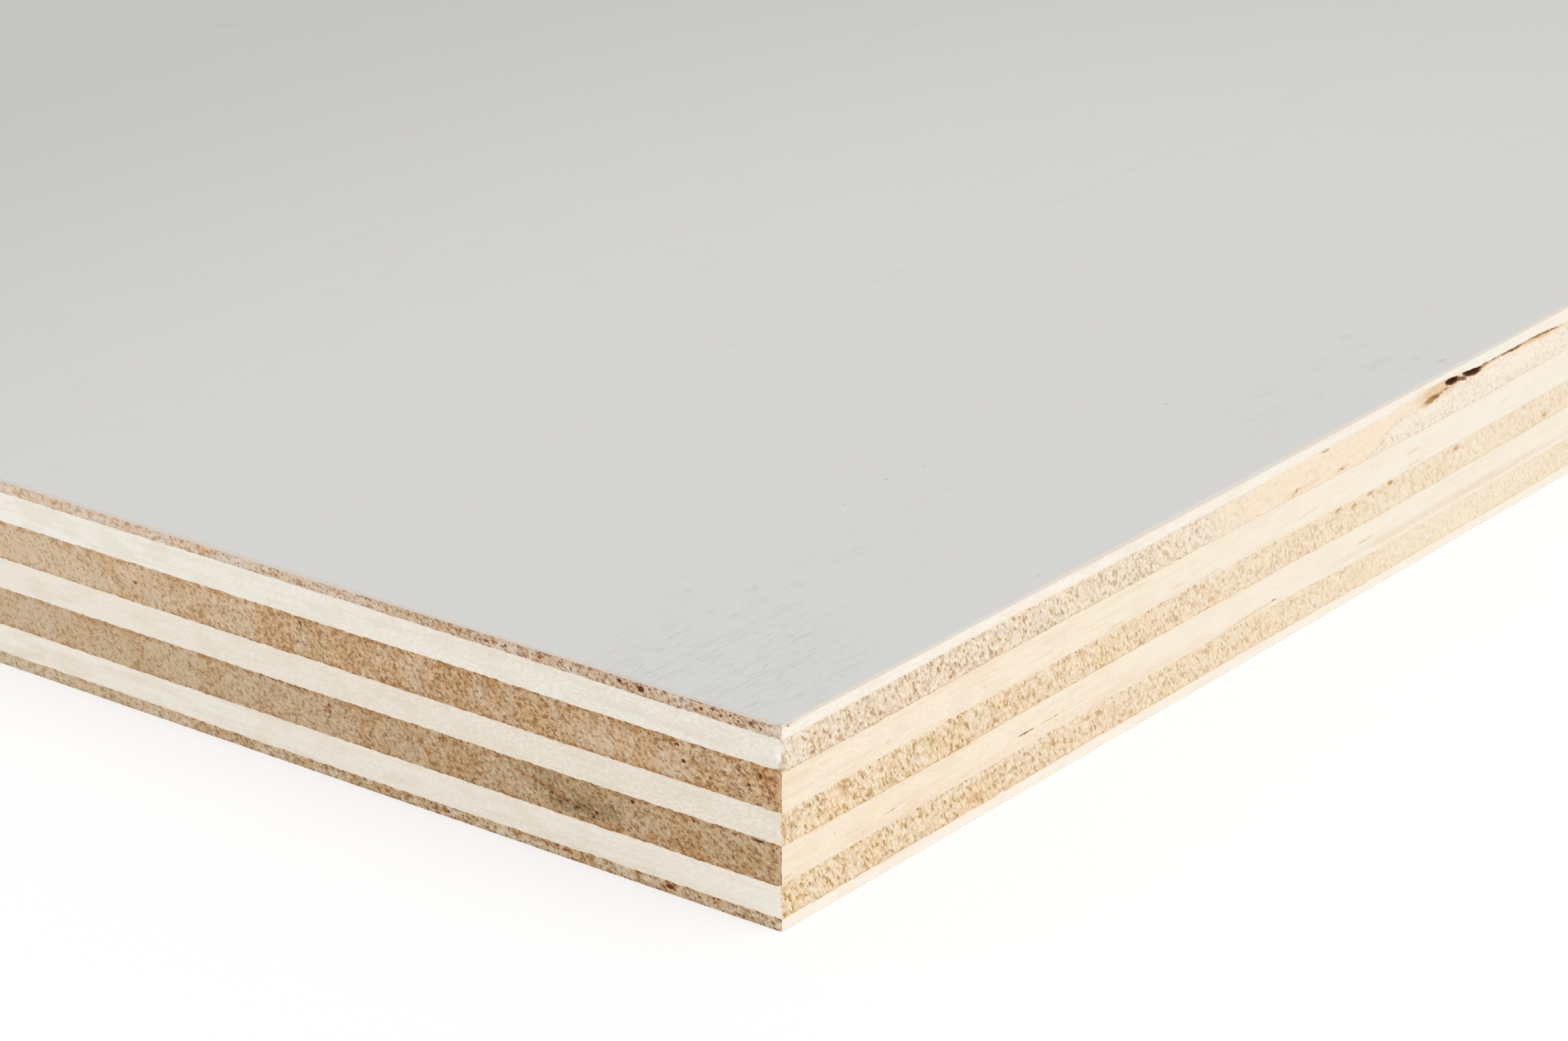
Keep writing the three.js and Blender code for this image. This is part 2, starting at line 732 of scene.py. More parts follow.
@dataclass(frozen=True)
class GreyCoat:
    """The hard grey coat, through which the veneer's pores show as fine dashes, with a pool of light
    painted round the front left corner and painted shade further off.
    """

    name: str = "grey_coat"
    body: Colour = paint(210, 209, 205)
    # The far tone is painted shade: the coat is drawn darker away from the front left corner.
    far: Colour = paint(191, 190, 186)
    shade: Colour = paint(201, 197, 194)
    dash: Colour = paint(150, 148, 150)
    # How far the pool of light painted round the front left corner reaches.
    painted_light_pool: Spot = Spot(0.0, 0.0, 438.0, 228.0, 1.0)
    spots: tuple[Spot, ...] = (
        Spot(47.0, 24.6, 0.45, 0.8, 0.36),
        Spot(51.6, 23.8, 0.8, 0.4, 0.22),
        Spot(40.0, 24.0, 0.5, 0.5, 0.24),
        Spot(16.8, 22.7, 0.6, 0.6, 0.22),
        Spot(15.2, 23.7, 0.5, 0.3, 0.18),
        Spot(5.8, 21.2, 0.8, 0.5, 0.16),
        Spot(14.6, 18.4, 1.2, 0.4, 0.2),
        Spot(9.5, 6.2, 0.4, 0.35, 0.45),
        Spot(13.2, 12.8, 0.5, 0.35, 0.25),
        Spot(14.3, 10.2, 0.9, 0.35, 0.25),
        Spot(10.5, 2.0, 0.7, 0.3, 0.3),
        Spot(37.0, 1.5, 0.6, 0.5, 0.3),
        Spot(48.4, 18.8, 0.9, 0.25, 0.2),
        Spot(102.9, 1.6, 1.6, 0.5, 0.4),
        Spot(101.9, 3.8, 1.6, 0.7, 0.2),
        Spot(77.6, 15.6, 0.8, 0.7, 0.3),
        Spot(103.0, 12.0, 2.4, 1.2, 0.14),
        Spot(99.0, 6.0, 5.0, 1.6, 0.1),
        Spot(115.0, 168.0, 3.0, 2.6, 0.14),
        Spot(150.0, 56.8, 420.0, 0.5, 0.06),
        Spot(150.0, 106.0, 420.0, 0.6, 0.06),
    )

    def material(self) -> bpy.types.Material:
        """Builds the finish.

        Returns:
            The material.
        """
        material, graph = new_material(self.name)
        corner = (OUTLINE.length / 2, OUTLINE.width / 2, 0.0)
        place = graph.vector_sum("ADD", graph.place_in_mm((1.0, 1.0, 1.0)), corner)
        dashes = graph.cloud(graph.vector_sum("MULTIPLY", place, (0.09, 1.0, 1.0)), 0.13, 2.0)
        threads = graph.cloud(graph.vector_sum("MULTIPLY", place, (0.02, 1.0, 1.0)), 0.5, 3.0, 3)
        haze = graph.cloud(graph.vector_sum("MULTIPLY", place, (0.6, 1.0, 1.0)), 3.6, 3.0, 5)
        skin = graph.cloud(place, 0.25, 2.0, 7)

        by_corner = self._near(graph, place, Spot(6.0, 10.0, 30.0, 25.0, 1.0)).rise(1.25, 0.4)
        beyond = self._near(graph, place, Spot(26.0, 17.0, 34.0, 18.0, 1.0)).rise(1.25, 0.4)
        beside = self._near(graph, place, Spot(92.0, 7.0, 52.0, 16.0, 1.0)).rise(1.2, 0.3)
        pored = by_corner * haze.rise(0.3, 0.5) + beyond * haze.rise(0.44, 0.6) * 0.5
        pored = pored + beside * haze.rise(0.4, 0.6) * 0.6
        pored = (pored + haze.rise(0.58, 0.72) * 0.18).rise(0.0, 1.0)
        # A pool of light painted round the front left corner: the coat shades off to the darker far
        # tone as painted shade, then partly evens out beyond.
        drift = graph.cloud(place, 260.0, 2.0, 11)
        away = self._near(graph, place, self.painted_light_pool)
        evened = away.rise(2.3, 5.0) * (0.4 + drift.rise(0.35, 0.65) * 0.25)
        far = away.rise(0.6, 1.65) * (1 - evened)
        colour = graph.blend(far, self.body, self.far)
        colour = graph.blend(threads.rise(0.5, 0.7) * (0.1 + pored * 0.5), colour, self.shade)
        colour = graph.blend(haze.rise(0.5, 0.66) * 0.08, colour, self.shade)
        colour = graph.blend(dashes.rise(0.54, 0.68) * pored * 0.32, colour, self.dash)
        ragged = skin * 1.6 - 0.8
        soiled: Feed = 0.0
        for spot in self.spots:
            cover = (self._near(graph, place, spot) + ragged).rise(1.3, 0.3) * spot.share
            soiled = graph.sum_up("MAXIMUM", soiled, cover)
        colour = graph.blend(soiled, colour, self.dash)
        graph.finish(
            {
                "Base Color": colour,
                "Roughness": 0.5 + skin * 0.1,
                "Specular IOR Level": 0.35,
                "Normal": graph.bump(skin - dashes * 0.4, 0.01),
            }
        )
        return material

    def _near(self, graph: Graph, place: Value, spot: Spot) -> Value:
        """Measures how far each point is from a spot's middle, seen from above.

        Args:
            graph: The material's graph.
            place: Where each point lies from the front left corner, in millimetres.
            spot: The spot.

        Returns:
            The distance as a share of the spot's own size: 1 is its rim.
        """
        scale = (2 / spot.length, 2 / spot.width, 0.0)
        middle = (-spot.x * scale[0], -spot.y * scale[1], 0.0)
        feeds = {0: place, 1: scale, 2: middle}
        off = graph.node("ShaderNodeVectorMath", {"operation": "MULTIPLY_ADD"}, feeds)
        return graph.node("ShaderNodeVectorMath", {"operation": "LENGTH"}, {0: off}, 1)


@dataclass(frozen=True)
class GluedFace:
    """The hidden faces between two layers, soaked with glue."""

    name: str = "glued_face"
    body: Colour = paint(205, 176, 132)

    def material(self) -> bpy.types.Material:
        """Builds the finish.

        Returns:
            The material.
        """
        material, graph = new_material(self.name)
        graph.finish({"Base Color": (*self.body, 1.0), "Roughness": 0.8})
        return material


# ---------------------------------------------------------------------------------------------
# The sheet's sides and what lies along them


class Side(Enum):
    """The sheet's sawn sides, in the order in which a walk from the front left corner meets them."""

    FRONT = 0
    RIGHT = 1
    BACK = 2
    LEFT = 3

    @property
    def inward(self) -> tuple[float, float]:
        """The way into the sheet from this side."""
        return ((0.0, 1.0), (-1.0, 0.0), (0.0, -1.0), (1.0, 0.0))[self.value]


@dataclass(frozen=True)
class Lattice:
    """Smooth random numbers over an endless grid, the same on every run."""

    seed: int

    def _lot(self, i: np.ndarray, j: np.ndarray) -> np.ndarray:
        """Draws each grid point's number.

        Args:
            i: The points' first coordinates.
            j: Their second coordinates.

        Returns:
            Numbers from 0 to 1.
        """
        mixed = (i * 374761393 + j * 668265263 + self.seed * 974634777) & 0xFFFFFFFF
        mixed = ((mixed ^ (mixed >> 13)) * 1274126177) & 0xFFFFFFFF
        return ((mixed ^ (mixed >> 16)) & 0xFFFF) / 65535

    def smooth(self, u: np.ndarray, v: np.ndarray) -> np.ndarray:
        """Gives a smooth value between the grid's numbers.

        Args:
            u: The first coordinate, in grid steps.
            v: The second coordinate, in grid steps.

        Returns:
            Values from 0 to 1.
        """
        i, j = np.floor(u).astype(np.int64), np.floor(v).astype(np.int64)
        s, t = ease(u - i, 0, 1), ease(v - j, 0, 1)
        low = self._lot(i, j) * (1 - s) + self._lot(i + 1, j) * s
        high = self._lot(i, j + 1) * (1 - s) + self._lot(i + 1, j + 1) * s
        return low * (1 - t) + high * t

    def granules(self, u: np.ndarray, v: np.ndarray) -> np.ndarray:
        """Gives the way to the nearest of the points strewn one to a grid square.

        Args:
            u: The first coordinate, in grid steps.
            v: The second coordinate, in grid steps.

        Returns:
            Distances in grid steps.
        """
        i, j = np.floor(u).astype(np.int64), np.floor(v).astype(np.int64)
        nearest = np.full(np.broadcast(u, v).shape, 9.0)
        for di in (-1, 0, 1):
            for dj in (-1, 0, 1):
                pu = i + di + self._lot(i + di, j + dj)
                pv = j + dj + self._lot(j + dj, i + di + 7919)
                nearest = np.minimum(nearest, np.hypot(pu - u, pv - v))
        return nearest


@dataclass(frozen=True)
class Stretch:
    """A stretch of a side that is modelled at one fineness."""

    end_mm: float
    step_mm: float
    coarseness: int


@dataclass(frozen=True)
class Stations:
    """The upright rows of points that all layers share, walking once round the sheet.

    Ended is the side that a row at a corner ends, and whole is the length of the walk.
    """

    place: np.ndarray
    along: np.ndarray
    walked: np.ndarray
    side: np.ndarray
    ended: np.ndarray
    coarseness: np.ndarray
    whole: float


@dataclass(frozen=True)
class Outline:
    """The sheet's sawn outline, finest by the front left corner, where it is seen from close by."""

    length: float
    width: float
    front: tuple[Stretch, ...] = (
        Stretch(128.0, 0.2, 0),
        Stretch(134.4, 0.4, 1),
        Stretch(144.0, 0.8, 2),
    )
    left: tuple[Stretch, ...] = (
        Stretch(92.0, 0.16, 0),
        Stretch(97.12, 0.32, 1),
        Stretch(108.0, 0.64, 2),
    )
    far_step_mm: float = 4.0
    far_coarseness: int = 3

    def _marks(self, run: float, stretches: tuple[Stretch, ...]) -> tuple[np.ndarray, np.ndarray]:
        """Divides one side, from its own start to just before its end.

        Args:
            run: The side's length.
            stretches: Its finer stretches, in order.

        Returns:
            The places along the side and the coarseness at each.
        """
        start, places, levels = 0.0, [], []
        for stretch in (*stretches, Stretch(run, self.far_step_mm, self.far_coarseness)):
            count = max(1, round((stretch.end_mm - start) / stretch.step_mm))
            places.append(np.linspace(start, stretch.end_mm, count, endpoint=False))
            levels.append(np.full(count, stretch.coarseness))
            start = stretch.end_mm
        return np.concatenate(places), np.concatenate(levels)

    def shrunk(self, depth: float) -> tuple[float, float]:
        """Gives the shares that draw the outline in on all sides by a depth."""
        return 1 - 2 * depth / self.length, 1 - 2 * depth / self.width

    def stations(self) -> Stations:
        """Walks round the sheet and puts up its rows of points.

        Returns:
            The rows of points.
        """
        front, front_level = self._marks(self.length, self.front)
        right, right_level = self._marks(self.width, ())
        back, back_level = self._marks(self.length, ())
        left, left_level = self._marks(self.width, self.left)
        # The left side is walked towards the front left corner, so its marks are taken from its end.
        left, left_level = np.append(left[1:], self.width)[::-1], left_level[::-1]
        along = (front, right, self.length - back, left)
        xs = (front, right * 0 + self.length, along[2], left * 0)
        ys = (front * 0, right, back * 0 + self.width, left)
        counts = [len(run) for run in along]
        side = np.repeat(np.arange(len(counts)), counts)
        ended = side.copy()
        # Each side's first row of points also ends the side before it.
        ended[np.cumsum([0, *counts[:-1]])] = np.roll(np.arange(len(counts)), 1)
        place = np.stack([np.concatenate(xs), np.concatenate(ys)], 1)
        step = np.linalg.norm(np.diff(place, axis=0, append=place[:1]), axis=1)
        return Stations(
            place=place - (self.length / 2, self.width / 2),
            along=np.concatenate(along),
            walked=np.concatenate([[0], np.cumsum(step)[:-1]]),
            side=side,
            ended=ended,
            coarseness=np.concatenate([front_level, right_level, back_level, left_level]),
            whole=float(step.sum()),
        )


# How long the waves of a glue line are: slow ones from the press and fine ones from the saw.
SWAY_MM = (17.0, 41.0)
JAG_MM = (0.7, 0.3)


@dataclass(frozen=True)
class GlueLine:
    """Where two layers meet on the sawn sides: its height, and how it wanders about that (mm).

    The courses give how far the line stands off at some places along the front and the left side.
    """

    height: float
    seed: int
    sway: float = 0.09
    jag: float = 0.07
    course: tuple[tuple[float, float], ...] = ((0.0, 0.0),)
    left_course: tuple[tuple[float, float], ...] = ((0.0, 0.0),)

    def heights(self, side: Side, along: np.ndarray) -> np.ndarray:
        """Gives the line's height at points along a side.

        Args:
            side: The side.
            along: How far along it each point is.

        Returns:
            The heights.
        """
        noise, level = Lattice(self.seed * 8 + side.value), along * 0
        sway = noise.smooth(along / SWAY_MM[0], level) + noise.smooth(along / SWAY_MM[1], level + 5)
        jag = noise.smooth(along / JAG_MM[0], level + 9) + noise.smooth(along / JAG_MM[1], level + 3)
        line = self.height + self.sway * (sway - 1) + self.jag * (jag - 1)
        if side is Side.FRONT:
            line = line + follow(self.course, along)
        if side is Side.LEFT:
            line = line + follow(self.left_course, along)
        return line


class MarkKind(Enum):
    """What a blemish on a sawn side is made of, or a highlight painted on it."""

    RESIN = 0
    DARK = 1
    PATCH = 2
    FADED_AND_LIT = 3


@dataclass(frozen=True)
class Mark:
    """A blemish or a painted highlight: a soft ellipse on one side, or a streak where it is long and
    thin (mm).
    """

    kind: MarkKind
    along: float
    height: float
    length: float
    width: float
    tilt: float = 0.0
    share: float = 1.0
    depth: float = 0.0

    def cover(self, along: np.ndarray, height: np.ndarray) -> np.ndarray:
        """Gives how much of the blemish lies at each point.

        Args:
            along: How far along the side each point is.
            height: How high each point is.

        Returns:
            Shares from 0 to 1.
        """
        turn = math.radians(self.tilt)
        du, dv = along - self.along, height - self.height
        long_way = (du * math.cos(turn) + dv * math.sin(turn)) * 2 / self.length
        short_way = (dv * math.cos(turn) - du * math.sin(turn)) * 2 / self.width
        return ease(np.hypot(long_way, short_way), 1.3, 0.5) * self.share


@dataclass(frozen=True)
class Lap:
    """A smooth patch let into a torn side, above a slanting seam (mm)."""

    begins: tuple[float, float]
    seam: tuple[tuple[float, float], ...]
    kind: MarkKind = MarkKind.PATCH
    depth: float = -0.04

    def cover(self, along: np.ndarray, height: np.ndarray) -> np.ndarray:
        """Gives how much of the patch lies at each point.

        Args:
            along: How far along the side each point is.
            height: How high each point is.

        Returns:
            Shares from 0 to 1.
        """
        noise = Lattice(311)
        ragged = noise.smooth(along / 2.2, height / 0.8) * 5 - 2.5
        above = ease(height - follow(self.seam, along), -0.07, 0.07)
        return ease(along + ragged, *self.begins) * above


def marks(kind: MarkKind, *rows: tuple[float, ...], depth: float = 0.0) -> tuple[Mark, ...]:
    """Makes marks of one kind.

    Args:
        kind: What they are made of.
        rows: Each one's place along the side, height, length and width, then its tilt and share.
        depth: How deep they lie, in millimetres.

    Returns:
        The marks.
    """
    return tuple(Mark(kind, *row, depth=depth) for row in rows)


@dataclass(frozen=True)
class Tear:
    """How the saw leaves a sawn face, in millimetres below its flat."""

    granule: tuple[float, float]
    base: float
    granule_depth: float
    pit_depth: float
    seed: int = 0

    def depths(self, side: Side, along: np.ndarray, height: np.ndarray) -> np.ndarray:
        """Gives the depth of the face at each point.

        Args:
            side: The side.
            along: How far along the side each point is.
            height: How high each point is.

        Returns:
            Depths below the flat.
        """
        noise = Lattice(self.seed * 8 + side.value + 400)
        wide, tall = self.granule
        grains = np.minimum(noise.granules(along / wide, height / tall), 1.0)
        pits = ease(noise.smooth(along / (2.2 * wide), height / (1.7 * tall) + 50), 0.62, 0.9)
        return self.base + self.granule_depth * grains + self.pit_depth * pits


@dataclass(frozen=True)
class Face:
    """How one sawn side of a layer looks: its roughness, its finish, its blemishes and its painted
    highlights.

    The last field gives how much paler the side is drawn near the front left corner and 115 mm from it.
    """

    tear: Tear
    finish: BrownEnd | StrawEnd | LongGrain | GreyCoat
    marks: tuple[Mark | Lap, ...] = ()
    faded_and_lit: tuple[float, float] = (0.0, 0.0)


# ---------------------------------------------------------------------------------------------
# Meshes


# What a point on a flat has for its way to a glue line: too far for any trace of glue.
FAR_MM = 9.0
# Faces that meet at a wider angle than this show an edge.
SHARP_DEGREES = 48


class Shell:
    """Collects the points and faces of one closed piece, with a place on its texture for each."""

    def __init__(self) -> None:
        """Starts with no points."""
        self.points: list[np.ndarray] = []
        self.layout: list[np.ndarray] = []
        self.marks: list[np.ndarray] = []
        self.faces: list[tuple[np.ndarray, np.ndarray, np.ndarray]] = []
        self.count = 0

    def add_points(
        self, places: np.ndarray, layout: np.ndarray | None = None, marks: np.ndarray | None = None
    ) -> np.ndarray:
        """Adds points.

        Args:
            places: Their places in millimetres, one row each.
            layout: The ways to the glue lines under and over them, one row each.
            marks: The blemishes' shares, one row each.

        Returns:
            The points' numbers.
        """
        total = len(places)
        self.points.append(places)
        self.layout.append(np.full((total, 3), FAR_MM) if layout is None else layout)
        self.marks.append(np.zeros((total, 4)) if marks is None else marks)
        numbers = np.arange(self.count, self.count + total)
        self.count += total
        return numbers

    def add_faces(self, corners: np.ndarray, spots: np.ndarray, slots: np.ndarray | int) -> None:
        """Adds faces that have the same number of corners.

        Args:
            corners: The points' numbers, one row for each face.
            spots: Each corner's place on the texture.
            slots: The faces' material slots.
        """
        slots = np.broadcast_to(slots, len(corners)).astype(np.int32)
        self.faces.append((corners.astype(np.int32), spots.astype(np.float32), slots))

    def build(self, name: str, materials: list[bpy.types.Material]) -> bpy.types.Object:
        """Makes the piece.

        Args:
            name: The piece's name.
            materials: Its materials, by slot.

        Returns:
            The object.
        """
        mesh = bpy.data.meshes.new(name)
        points = np.concatenate(self.points) * MM
        mesh.vertices.add(len(points))
        mesh.vertices.foreach_set("co", points.astype(np.float32).ravel())
        loops = np.concatenate([corners.ravel() for corners, _, _ in self.faces])
        sizes = np.concatenate([np.full(len(c), c.shape[1]) for c, _, _ in self.faces])
        mesh.loops.add(len(loops))
        mesh.loops.foreach_set("vertex_index", loops)
        mesh.polygons.add(len(sizes))
        starts = np.concatenate([[0], np.cumsum(sizes)[:-1]]).astype(np.int32)
        mesh.polygons.foreach_set("loop_start", starts)
        mesh.polygons.foreach_set("material_index", np.concatenate([s for _, _, s in self.faces]))
        mesh.polygons.foreach_set("use_smooth", np.ones(len(sizes), bool))
        texture = mesh.uv_layers.new(name="OFBake")
        texture.uv.foreach_set("vector", np.concatenate([s.ravel() for _, s, _ in self.faces]))
        layout = mesh.attributes.new("layout", "FLOAT_VECTOR", "POINT")
        layout.data.foreach_set("vector", np.concatenate(self.layout).astype(np.float32).ravel())
        marks = mesh.attributes.new("marks", "FLOAT_COLOR", "POINT")
        marks.data.foreach_set("color", np.concatenate(self.marks).astype(np.float32).ravel())
        mesh.update(calc_edges=True)
        mesh.set_sharp_from_angle(angle=math.radians(SHARP_DEGREES))
        for material in materials:
            mesh.materials.append(material)
        piece = bpy.data.objects.new(name, mesh)
        bpy.context.scene.collection.objects.link(piece)
        return piece


# How much of the texture's height the sides take up, beside a flat that shows and with none.
STRIP_BESIDE_FLAT = 0.46
STRIP_ALONE = 0.96
# Where a flat that shows lies on the texture: its size and its corner.
FLAT_SIZE = (0.99, 0.49)
FLAT_CORNER = (0.005, 0.505)
# A flat that is hidden lies very small at the right, just over the sides.
HIDDEN_SIZE = 0.015
HIDDEN_LEFT = 0.98
HIDDEN_LIFT = 0.01


@dataclass(frozen=True)
class StripFold:
    """Folds the long thin strip round a layer into rows that fill a square texture."""

    walk: float
    thickness: float
    top: float
    pixels: int = 1024
    gap_pixels: float = 3.0
    spare_mm: float = 4.2

    def density(self) -> float:
        """Finds the most pixels for each millimetre at which the strip still fits.

        Returns:
            The pixels for each millimetre.
        """
        for tenth in range(200, 10, -1):
            density = tenth / 10
            row = max(self.thickness * density, 1.0) + self.gap_pixels
            rows = math.ceil(self.walk / (self.pixels / density - self.spare_mm))
            if rows * row <= self.top * self.pixels:
                return density
        return 1.0

    def spots(self, walked: np.ndarray, start: np.ndarray, share: np.ndarray) -> np.ndarray:
        """Gives places on the texture.

        Args:
            walked: How far round the sheet each corner is.
            start: How far round its face's first corner is, which picks the row.
            share: How far up the layer each corner is, 0 to 1.

        Returns:
            The places.
        """
        density = self.density()
        run = self.pixels / density - self.spare_mm
        row = np.floor(start / run)
        tall = max(self.thickness * density, 1.0)
        across = (walked - row * run) * density / self.pixels
        up = (row * (tall + self.gap_pixels) + 1 + share * tall) / self.pixels
        return np.stack([across, up], -1)


@dataclass
class Layer:
    """One closed slab of the sheet: a veneer or the coat, with its four sawn sides in relief."""

    node: str
    slot: str
    bottom: GlueLine
    top: GlueLine
    faces: dict[Side, Face]
    rows: int = 32
    ledge_mm: float = 1.0
    inner_mm: float = 3.0
    worn_corner_mm: float = 0.08
    worn_corner_reach_mm: float = 0.2
    worn_patch_mm: float = 0.4
    push_reach_mm: float = 1.6
    paling_mm: tuple[float, float] = (5.0, 115.0)
    drifting_mm: tuple[float, float] = (125.0, 170.0)
    drift_length_mm: float = 55.0
    fewest_rows: int = 3
    top_finish: GreyCoat | None = None
    bottom_finish: PeeledFace | None = None

    def _relief(
        self, side: Side, along: np.ndarray, height: np.ndarray
    ) -> tuple[np.ndarray, np.ndarray]:
        """Works out how deep a side lies and what blemishes it has.

        Args:
            side: The side.
            along: How far along it each point is.
            height: How high each point is.

        Returns:
            The depths under the side's flat, and four shares of blemishes and painted highlights for
            each point.
        """
        face = self.faces[side]
        depth = face.tear.depths(side, along, height)
        shares = np.zeros((*depth.shape, 4))
        for mark in face.marks:
            cover = mark.cover(along, height)
            kind = shares[..., mark.kind.value]
            np.maximum(kind, cover, out=kind)
            depth = depth + mark.depth * cover
        noise = Lattice(side.value + 900)
        near, far = face.faded_and_lit
        drift = (near + far) * (0.3 + 0.5 * noise.smooth(along / self.drift_length_mm, height * 0))
        faded_and_lit = near + (far - near) * ease(along, *self.paling_mm)
        faded_and_lit = faded_and_lit + (drift - faded_and_lit) * ease(along, *self.drifting_mm)
        kind = shares[..., MarkKind.FADED_AND_LIT.value]
        np.maximum(kind, faded_and_lit, out=kind)
        way = np.minimum(along, OUTLINE_RUNS[side] - along)
        uneven = 0.6 + 0.8 * noise.smooth(height / self.worn_patch_mm, way * 0)
        depth = depth + self.worn_corner_mm * uneven * np.exp(-way / self.worn_corner_reach_mm)
        return np.maximum(depth, 0.0), shares

    def _push(self, side: Side, along: np.ndarray, height: np.ndarray) -> np.ndarray:
        """Moves points near the front left corner along their side, as far as it is worn.

        Args:
            side: The side.
            along: How far along it each point is.
            height: How high each point is.

        Returns:
            The moves, which fade to nothing away from the corner and are 0 on it.
        """
        neighbour = Side.LEFT if side is Side.FRONT else Side.FRONT
        depth, _ = self._relief(neighbour, along * 0, height)
        push = depth * np.clip(1 - along / self.push_reach_mm, 0, 1) * (along > 0)
        return push[..., None] * neighbour.inward

    def build(self, outline: Outline, stations: Stations) -> bpy.types.Object:
        """Builds the layer's piece and puts it in its node's place.

        Args:
            outline: The sheet's outline.
            stations: The rows of points round it.

        Returns:
            The piece.
        """
        shell = Shell()
        shows_flat = bool(self.top_finish or self.bottom_finish)
        fold = StripFold(
            walk=stations.whole + 1,
            thickness=self.top.height - self.bottom.height,
            top=STRIP_BESIDE_FLAT if shows_flat else STRIP_ALONE,
        )
        low, high = self._heights(stations)
        columns = self._columns(shell, stations, low, high)
        self._wrap(shell, stations, columns, fold)
        ledges = (self.ledge_mm, self.inner_mm)
        rings = [stations.place * outline.shrunk(depth) for depth in (0.0, *ledges)]
        for upper, line, heights in ((True, self.top, high), (False, self.bottom, low)):
            rim = np.array([column[-1 if upper else 0] for column in columns])
            flat = np.full(len(rim), line.height)
            places = [
                np.column_stack([ring, level]) for ring, level in zip(rings, (heights, heights, flat))
            ]
            self._close(shell, outline, stations, rim, places, upper, fold.top)
        materials = [self.faces[side].finish.material() for side in Side]
        materials.append((self.top_finish or GluedFace()).material())
        materials.append((self.bottom_finish or GluedFace()).material())
        piece = shell.build(self.node + "_look", materials)
        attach(piece, "root")
        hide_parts(self.node)
        return piece

    def _heights(self, stations: Stations) -> tuple[np.ndarray, np.ndarray]:
        """Finds where the glue lines run under and over the layer.

        Args:
            stations: The rows of points round the sheet.

        Returns:
            The lowest and the highest point of each row.
        """
        low, high = np.zeros(len(stations.along)), np.zeros(len(stations.along))
        for side in Side:
            here = stations.side == side.value
            low[here] = self.bottom.heights(side, stations.along[here])
            high[here] = self.top.heights(side, stations.along[here])
        return low, high

    def _columns(
        self, shell: Shell, stations: Stations, low: np.ndarray, high: np.ndarray
    ) -> list[np.ndarray]:
        """Puts up the layer's rows of points, with fewer points where they are far apart.

        Args:
            shell: The piece.
            stations: The rows' places round the sheet.
            low: The lowest point of each row.
            high: The highest point of each row.

        Returns:
            The numbers of each row's points, from the lowest up.
        """
        columns: list[np.ndarray] = [np.empty(0, int)] * len(stations.along)
        for level in np.unique(stations.coarseness):
            chosen = np.flatnonzero(stations.coarseness == level)
            rows = max(self.rows >> level, min(self.fewest_rows, self.rows))
            share = np.linspace(0, 1, rows + 1)
            height = low[chosen, None] + (high - low)[chosen, None] * share
            place, shares = self._carve(stations, chosen, height)
            rise, drop = height - low[chosen, None], high[chosen, None] - height
            layout = np.stack([rise, drop, height * 0], -1)
            numbers = shell.add_points(
                place.reshape(-1, 3), layout.reshape(-1, 3), shares.reshape(-1, 4)
            )
            for index, column in zip(chosen, numbers.reshape(height.shape)):
                columns[index] = column
        return columns

    def _carve(
        self, stations: Stations, chosen: np.ndarray, height: np.ndarray
    ) -> tuple[np.ndarray, np.ndarray]:
        """Sinks rows of points into the sides that they stand on.

        Args:
            stations: The rows' places round the sheet.
            chosen: Which of the rows they are.
            height: How high their points are, one row each.

        Returns:
            The points' places, and four shares of blemishes for each.
        """
        place = np.zeros((*height.shape, 3))
        place[..., :2] = stations.place[chosen, None]
        place[..., 2] = height
        shares = np.zeros((*height.shape, 4))
        for side in Side:
            own = stations.side[chosen] == side.value
            along = stations.along[chosen[own], None] + height[own] * 0
            depth, shares[own] = self._relief(side, along, height[own])
            place[own, :, :2] += depth[..., None] * side.inward
            if side in (Side.FRONT, Side.LEFT):
                place[own, :, :2] += self._push(side, along, height[own])
            corner = (stations.ended[chosen] == side.value) & ~own
            along = height[corner] * 0 + SIDE_ENDS[side]
            depth, _ = self._relief(side, along, height[corner])
            place[corner, :, :2] += depth[..., None] * side.inward
        return place, shares

    def _wrap(
        self, shell: Shell, stations: Stations, columns: list[np.ndarray], fold: StripFold
    ) -> None:
        """Joins each row of points to the next with faces.

        Args:
            shell: The piece.
            stations: The rows' places round the sheet.
            columns: The numbers of each row's points.
            fold: Where the faces lie on the texture.
        """
        total = len(columns)
        walk = np.append(stations.walked, stations.whole)
        sizes = np.array([len(column) for column in columns])
        following = np.roll(sizes, -1)
        for size in np.unique(sizes):
            starts = np.flatnonzero((sizes == size) & (following == size))
            here = np.stack([columns[i] for i in starts])
            after = np.stack([columns[(i + 1) % total] for i in starts])
            quads = np.stack([here[:, :-1], after[:, :-1], after[:, 1:], here[:, 1:]], -1)
            share = np.linspace(0, 1, size)
            ways = np.stack([walk[starts], walk[starts + 1], walk[starts + 1], walk[starts]], -1)
            ways = np.broadcast_to(ways[:, None], quads.shape)
            ups = np.stack([share[:-1], share[:-1], share[1:], share[1:]], -1)
            ups = np.broadcast_to(ups, quads.shape)
            first = np.broadcast_to(walk[starts][:, None, None], quads.shape)
            slots = np.repeat(stations.side[starts], size - 1)
            spots = fold.spots(ways, first, ups)
            shell.add_faces(quads.reshape(-1, 4), spots.reshape(-1, 4, 2), slots)
        for i in np.flatnonzero(sizes != following):
            here, after = columns[i], columns[(i + 1) % total]
            self._step_down(shell, here, after, walk[i : i + 2], fold, int(stations.side[i]))

